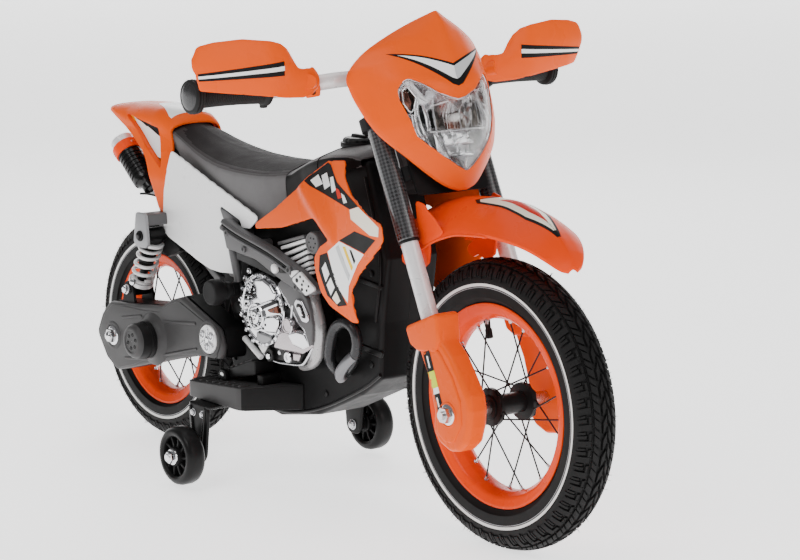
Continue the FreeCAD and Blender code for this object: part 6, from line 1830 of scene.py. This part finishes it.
# bright ends of the rear axle
b = []
for k in (-1, 1):
    y = (-99.2 if k < 0 else 90.2)
    parts = [lathe("cup", [(6.0, y), (13.6, y), (13.4, y + k * 1.4), (11.0, y + k * 2.6), (6.0, y + k * 2.6)], RAX[0], RAX[1], 36, CHROME, closed=True, ang=40)]
    parts.append(lathe("acorn", [(6.4, y + k * 8.0), (6.2, y + k * 10.2), (4.6, y + k * 11.6), (0.2, y + k * 12.2)], RAX[0], RAX[1], 28, CHROME, closed=False, ang=50))
    b += parts
ride(join("rear_axle_cups", b), "swingarm")


# three-lobed cap over the pivot
def make_cap():
    b = [lathe("cap", [(18.8, -98.2), (19.4, -99.2), (19.4, -101.4), (18.4, -102.6), (0.2, -102.6)], PIV[0], PIV[1], 56, SILVER, closed=False, ang=35)]
    for k in range(3):
        a = math.radians(120 * k + 30)
        px, pz = PIV[0] + 10.8 * math.cos(a), PIV[1] + 10.8 * math.sin(a)
        b.append(lathe("ring", [(5.9, -102.4), (5.7, -103.9), (4.6, -104.2), (4.1, -103.2), (4.1, -102.2)], px, pz, 28, CHROME, closed=False, ang=35))
        b.append(lathe("pit", [(4.0, -102.9), (0.2, -102.9)], px, pz, 20, DECAL_GREY, closed=False))
        b.append(lathe("screw", [(2.6, -102.7), (2.4, -103.8), (0.2, -104.0)], px, pz, 16, CHROME_SOFT, closed=False))
        c, s = math.cos(a), math.sin(a)
        b.append(tube([(PIV[0] + 5.5 * math.cos(a + 1.05), -103.0, PIV[1] + 5.5 * math.sin(a + 1.05)), (PIV[0] + 16.5 * math.cos(a + 1.05), -103.0, PIV[1] + 16.5 * math.sin(a + 1.05))], 1.5, CHROME_SOFT, seg=10))
    b.append(lathe("mid", [(4.4, -102.4), (4.2, -104.0), (3.0, -104.6), (0.2, -104.6)], PIV[0], PIV[1], 24, CHROME, closed=False, ang=40))
    return join("cap", b)


both_sides(make_cap, "pivot_caps", "frame")


# peg with a soft-edged button, beside the rail foot
def make_peg():
    b = [lathe("peg", [(16.4, -97.5), (17.2, -99.5), (17.4, -108), (16.4, -112), (14.4, -113.8), (12.6, -114.2), (11.6, -113.0), (0.2, -112.6)], -467, 257, 48, BLACK, closed=False, ang=40)]
    b.append(lathe("neck", [(9.2, -41), (9.2, -60), (11.6, -62), (11.6, -68), (9.4, -70), (9.4, -80), (11.6, -82), (11.6, -88), (9.4, -90), (9.4, -98), (16.4, -98)], -467, 257, 36, BLACK, closed=False, ang=40))
    return join("peg", b)


both_sides(make_peg, "foot_pegs", "frame")

# -------------------------------------------------------------------- shocks
ST, SB = Vector((-660.0, -74.0, 306.0)), Vector((-700.0, -74.0, 226.0))
SE = (SB - ST).normalized()
SLEN = (SB - ST).length
SU = Vector((0, 1, 0))
SW_ = SE.cross(SU)


def along(prof, material, seg=36, flip=False):
    """Turned piece along the right shock: prof of (radius, distance from the upper eye)."""
    verts, faces = [], []
    for r, a in prof:
        for i in range(seg):
            t = 2 * math.pi * i / seg
            verts.append(tuple(ST + SE * a + SU * (r * math.cos(t)) + SW_ * (r * math.sin(t))))
    for j in range(len(prof) - 1):
        for i in range(seg):
            k = (i + 1) % seg
            faces.append((j * seg + i, j * seg + k, (j + 1) * seg + k, (j + 1) * seg + i))
    o = new_obj("along", verts, faces, material)
    by_angle(o, 35)
    return o


def make_upper():
    b = [along([(9.0, 9), (16.4, 9.4), (17.4, 10.4), (17.4, 13.0), (16.6, 14.4), (11.6, 15.0)], SILVER),
         along([(8.6, 14.6), (9.9, 15.0), (10.1, 17), (10.1, 53), (9.7, 55.5), (8.4, 56.2), (6.7, 55.0)], BLACK_SATIN),
         along([(12.8, 8.8), (14.6, 6.0), (14.6, 3.0), (12.0, 1.0), (9.0, 0.5)], BLACK_SATIN)]
    for a in (22, 30, 38, 46):
        b.append(along([(10.0, a), (10.7, a + 0.8), (10.7, a + 3.4), (10.0, a + 4.2)], BLACK_SATIN))
    return join("upper", b)


def make_lower():
    n = SLEN
    b = [along([(6.6, n - 15.2), (16.4, n - 15.0), (17.5, n - 13.6), (17.5, n - 8.6), (16.0, n - 7.4), (10.0, n - 6.6)], SILVER),
         along([(11.0, n - 17.5), (14.0, n - 16.8), (14.0, n - 15.0), (8.0, n - 15.0)], SILVER)]
    d = Vector((0.3, -1, 0.1)).normalized()
    p = ST + SE * (n - 10.5)
    b.append(cyl(p + d * 15, p + d * 20.5, 4.6, CHROME, seg=20, cap_bevel=1.6))
    return join("lower", b)


def make_spring():
    turns = 4.3
    z0, z1 = 18.6, SLEN - 20.4
    pts = []
    n = int(turns * 28)
    for i in range(n + 1):
        f = i / n
        # closed ends
        g = f + 0.035 * math.sin(2 * math.pi * f) * -1.0
        a = 2 * math.pi * turns * f
        pts.append(tuple(ST + SE * (z0 + (z1 - z0) * g) + SU * (14.7 * math.cos(a)) + SW_ * (14.7 * math.sin(a))))
    return tube(pts, 2.5, SILVER, seg=14)


both_sides(make_upper, "shock_upper_dress", "shock_upper")
both_sides(make_lower, "shock_lower_dress", "shock_lower")
s1 = make_spring()
s2 = mirrored(s1, "spring_l")
spr = join("shock_coils", [s1, s2])
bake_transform(spr)
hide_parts("shock_springs")


# grey plate over the upper shock mount
def make_mount():
    b = [prism("plate", [(-678, 297), (-672, 290), (-648, 290), (-642, 297), (-648, 338), (-672, 338)], -96.6, -91.2, PLATE, r=5, bev=1.6, seg=3)]
    b.append(prism("bar", [(-674, 320.4), (-646, 320.4), (-648, 336), (-672, 336)], -92.0, -56.5, GREY, r=3, bev=1.5))
    b.append(prism("wedge", [(-643, 304), (-612, 289), (-648, 275), (-672, 286)], -61.5, -48.0, BLACK, r=3, bev=1.5))
    b.append(cyl((-660, -95, 306), (-660, -99.0, 306), 7.5, BLACK_SATIN, seg=24, cap_bevel=1.2))
    b.append(cyl((-660, -98.6, 306), (-660, -101.8, 306), 5.2, BLACK_GLOSS, seg=6, cap_bevel=0.6))
    return join("mount", b)


both_sides(make_mount, "shock_mounts", "frame")
b = []
for k in (-1, 1):
    b.append(cyl((-700, k * 92.0, 226), (-700, k * 96.5, 226), 7.0, CHROME_SOFT, seg=24, cap_bevel=1.2))
    b.append(cyl((-700, k * 96.2, 226), (-700, k * 100.0, 226), 5.4, CHROME, seg=6, cap_bevel=0.6))
ride(join("shock_lower_bolts", b), "swingarm")


# --------------------------------------------------------------- footboards
def slab(poly, z0, z1, material, r, bev, seg=4):
    """Block from an outline (x, y) between two heights."""
    pts = round_poly(poly, r)
    n = len(pts)
    o = new_obj("slab", [(x, y, z0) for x, y in pts] + [(x, y, z1) for x, y in pts],
                [tuple(range(n)), tuple(range(2 * n - 1, n - 1, -1))] + [(i, (i + 1) % n, n + (i + 1) % n, n + i) for i in range(n)], material)
    bevel(o, bev, seg, 40)
    bake(o)
    by_angle(o, 40)
    return o


def board_top(x):
    return 130.0 + (x + 531.0) * 10.0 / 130.0


def make_board(right):
    o = slab([(-528, -40.4), (-528, -112), (-401, -112), (-358, -40.4)], 110.0, 130.0, GREY_DARK, [1, 12, 18, 1], 5.0)
    # the top rises towards the front
    for v in o.data.vertices:
        f = max(0.0, min(1.0, (v.co.z * 1000 - 112.0) / 12.0))
        v.co.z += f * (board_top(v.co.x * 1000 - OX) - 130.0) / 1000.0
    # the forward flank is painted plain black as shade
    o.data.materials.append(BLACK)
    for f in o.data.polygons:
        if f.normal.x > 0.55:
            f.material_index = 1
    b = [o]
    for k in range(8):
        x = -521 + k * 15.0
        y1 = -90 if right and -500 < x < -394 else -50
        t = board_top(x + 2.5)
        b.append(slab([(x, y1), (x, -106), (x + 6, -106), (x + 6, y1)], t - 3.0, t + 2.4, GREY_DARK, 2.0, 1.4, 3))
    if right:
        for y0, y1 in ((-86.6, -80.8), (-49.0, -43.2)):
            b.append(prism("ear", [(-490, 130), (-470, 130), (-472, 144), (-476, 149), (-484, 149), (-488, 144)], y0, y1, BLACK_SATIN, r=4, bev=1.0))
        b.append(prism("housing", [(-409.5, 134), (-398, 134), (-398, 153), (-409.5, 153)], -79, -50, BLACK_SATIN, r=2, bev=1.2))
    return join("board", b)


ride(make_board(True), "frame", ["footboard_right"]).name = "footboard_right_tread"
o = make_board(False)
o2 = mirrored(o, "footboard_left_tread")
me = o.data
bpy.data.objects.remove(o)
bpy.data.meshes.remove(me)
ride(o2, "frame", ["footboard_left"])
# accelerator pedal: a wedge hinged at its heel
b = [prism("ped", [(-487, 139), (-484.5, 147.0), (-421, 170.4), (-413, 170.4), (-413, 151.5), (-420, 149.5), (-476, 137)], -80.0, -49.8, BLACK_SATIN, r=2.5, bev=1.6, seg=3)]
b.append(prism("pad", [(-483, 147.0), (-482, 144.0), (-421.5, 167.0), (-422, 171.6)], -78.6, -51.2, GREY_DARK, r=1.0, bev=0.8, seg=2))
for k in range(5):
    x = -474 + 11.0 * k
    z = 147.5 + (x + 484.5) * 0.37
    b.append(prism("rib", [(x, z - 2), (x + 5, z), (x + 5, z + 3.4), (x, z + 1.6)], -77.0, -52.8, GREY_DARK, r=0.8, bev=0.7))
b.append(cyl((-480, -87.2, 142), (-480, -43.0, 142), 3.9, STEEL, seg=20, cap_bevel=0.5))
ride(join("accelerator_pedal_tread", b), "pedal", ["accelerator_pedal"])


# -------------------------------------------------------------- stabilisers
def make_roller():
    cx, cz = TWX, TWZ
    b = [lathe("tread", [(27.4, -143.5), (30.6, -142.4), (34.8, -143.2), (37.6, -146.2), (38.9, -150.8), (38.9, -161.2), (37.6, -165.8), (34.8, -168.8), (30.6, -169.6), (27.4, -168.5), (26.2, -166.5), (26.2, -145.5)], cx, cz, 72, BLACK_SATIN, ang=50)]
    b.append(lathe("web", [(11.5, -151.5), (26.6, -151.5), (26.6, -160.5), (11.5, -160.5)], cx, cz, 56, BLACK, ang=40))
    for sg in (-1, 1):
        y0, y1 = ((-166.0, -159.5) if sg < 0 else (-152.5, -146.0))
        for k in range(10):
            a = 2 * math.pi * k / 10
            d = Vector((math.cos(a), 0, math.sin(a)))
            n = Vector((-d.z, 0, d.x))
            c = Vector((cx, 0, cz))
            poly = [c + d * 11.5 - n * 2.0, c + d * 19 - n * 0.9, c + d * 26.8 + n * 1.8, c + d * 26.8 + n * 4.8, c + d * 19 + n * 2.3, c + d * 11.5 + n * 2.0]
            b.append(prism("spoke", [(p.x, p.z) for p in poly], y0, y1, BLACK, r=0.8, bev=0.7, seg=2))
    b.append(lathe("hub", [(5.3, -142.2), (11.6, -142.2), (12.9, -143.6), (12.9, -168.8), (11.6, -170.6), (5.3, -170.8)], cx, cz, 44, BLACK, ang=40))
    b.append(lathe("cap", [(5.6, -170.4), (11.0, -170.4), (10.6, -171.8), (8.4, -172.6), (5.6, -172.6)], cx, cz, 36, CHROME, closed=True, ang=40))
    return join("roller", b)


r1 = make_roller()
r2 = mirrored(r1, "training_wheel_left_roller")
r1.name = "training_wheel_right_roller"
ride(r1, "training_wheel_r", ["training_wheel_right"])
ride(r2, "training_wheel_l", ["training_wheel_left"])


def make_leg():
    cx, cz = TWX, TWZ
    b = [prism("leg", [(-497, 109.2), (-449, 109.2), (-457, 42), (-463, 32), (-483, 32), (-489, 42)], -130.2, -125.2, BLACK_SATIN, r=9, bev=1.6, seg=3)]
    b.append(bolt((TWX, -125.0, TWZ), (0, 1, 0), 6.0, 4.0, CHROME_SOFT, hexa=True))
    for x in (-490, -456):
        b.append(tube([(x, -130.6, 106), (TWX + (x - TWX) * 0.5, -130.6, 56)], 2.2, BLACK_GLOSS, seg=10))
    b.append(lathe("boss", [(5.2, -126), (9.6, -126), (9.6, -139.6), (8.6, -141.4), (5.2, -141.6)], cx, cz, 32, BLACK_SATIN, ang=40))
    b.append(slab([(-497, -60), (-497, -130), (-449, -130), (-449, -60)], 104.8, 109.4, BLACK_GLOSS, 5.0, 1.2, 2))
    b.append(cyl((cx, -128, cz), (cx, -176.4, cz), 4.9, STEEL, seg=20, cap_bevel=0.8))
    b.append(cyl((cx, -172.6, cz), (cx, -178, cz), 8.4, CHROME, seg=6, cap_bevel=0.9))
    b.append(cyl((cx, -177.6, cz), (cx, -180.4, cz), 5.6, CHROME, seg=20, cap_bevel=1.4))
    for x in (-484, -462):
        b.append(bolt((x, -130.0, 97), (0, -1, 0), 4.4, 2.8, CHROME_SOFT, hexa=True))
    return join("leg", b)


both_sides(make_leg, "training_bracket_pair", "frame", ["training_brackets"])

# ----------------------------------------------------- switch and socket trims
b = []
pts = round_poly([(-364, 147), (-326, 147), (-326, 173), (-364, 173)], 4)
inner = round_poly([(-358.2, 151.4), (-331.8, 151.4), (-331.8, 168.6), (-358.2, 168.6)], 2)
po, pi = resample(pts, 64), resample(inner, 64)
vv = [(x, 40.2, z) for x, z in po] + [(x, 42.0, z) for x, z in po] + [(x, 42.0, z) for x, z in pi] + [(x, 40.2, z) for x, z in pi]
o = new_obj("bezel", vv, [(q * 64 + i, q * 64 + (i + 1) % 64, ((q + 1) % 4) * 64 + (i + 1) % 64, ((q + 1) % 4) * 64 + i) for q in range(4) for i in range(64)], BLACK_GLOSS)
by_angle(o, 35)
ride(o, "frame")


# ------------------------------------------------------- floor, light, camera
def stage_mesh(name, verts, faces, material):
    me = bpy.data.meshes.new(name)
    me.from_pydata(verts, [], faces)
    me.materials.append(material)
    o = bpy.data.objects.new(name, me)
    SCENE.objects.link(o)
    return o


FLOOR = mat("studio_floor", (0.96, 0.96, 0.96), rough=0.7, mottle=0.01, mottle_scale=3, emit=1.6)
# floor with a curved rise into the backdrop
prof = [(12.0, 0.0)]
for k in range(13):
    a = math.pi / 2 * k / 12
    prof.append((-9.0 - 2.0 * math.sin(a), 2.0 - 2.0 * math.cos(a)))
prof.append((-11.0, 8.0))
az = math.radians(51.91)
back = Vector((math.sin(az), -math.cos(az), 0))
right = Vector((math.cos(az), math.sin(az), 0))
verts, faces = [], []
for d, z in prof:
    for w in (-12.0, 12.0):
        p = back * d + right * w
        verts.append((p.x, p.y, z - 0.0005))
for i in range(len(prof) - 1):
    faces.append((2 * i, 2 * i + 1, 2 * i + 3, 2 * i + 2))
fl = stage_mesh("studio_floor", verts, faces, FLOOR)
fl.data.polygons.foreach_set("use_smooth", [True] * len(fl.data.polygons))


def area(name, loc, target, size, power, size_y=None, color=(1, 1, 1)):
    li = bpy.data.lights.new(name, "AREA")
    li.energy = power
    li.size = size
    li.color = color
    if size_y:
        li.shape = "RECTANGLE"
        li.size_y = size_y
    o = bpy.data.objects.new(name, li)
    o.location = loc
    d = Vector(target) - Vector(loc)
    o.rotation_euler = d.to_track_quat("-Z", "Y").to_euler()
    SCENE.objects.link(o)
    return o


area("key", (0.6, -2.4, 2.6), (0.0, 0.0, 0.3), 1.8, 38, 1.2)
area("front", (3.0, 0.4, 1.5), (0.1, 0.0, 0.35), 1.6, 25, 1.6)
area("top", (-0.1, 0.2, 2.9), (0.0, 0.0, 0.2), 2.2, 24, 2.2)
area("rim", (-2.2, 1.8, 1.8), (0.0, 0.0, 0.3), 1.4, 18, 1.4)
w = bpy.data.worlds.new("studio")
w.use_nodes = True
w.node_tree.nodes["Background"].inputs["Color"].default_value = (1.0, 1.0, 1.0, 1.0)
w.node_tree.nodes["Background"].inputs["Strength"].default_value = 0.21
bpy.context.scene.world = w

cam = bpy.data.cameras.new("camera")
cam.sensor_width = 36.0
cam.lens = 115.243
cam.clip_end = 50.0
co = bpy.data.objects.new("camera", cam)
SCENE.objects.link(co)
el = math.radians(10.22)
bk = Vector((math.sin(az) * math.cos(el), -math.cos(az) * math.cos(el), math.sin(el)))
rt = Vector((math.cos(az), math.sin(az), 0.0))
up = bk.cross(rt)
co.matrix_world = Matrix(((rt.x, up.x, bk.x, 2.63071), (rt.y, up.y, bk.y, -1.94698), (rt.z, up.z, bk.z, 0.86728), (0, 0, 0, 1)))
bpy.context.scene.camera = co
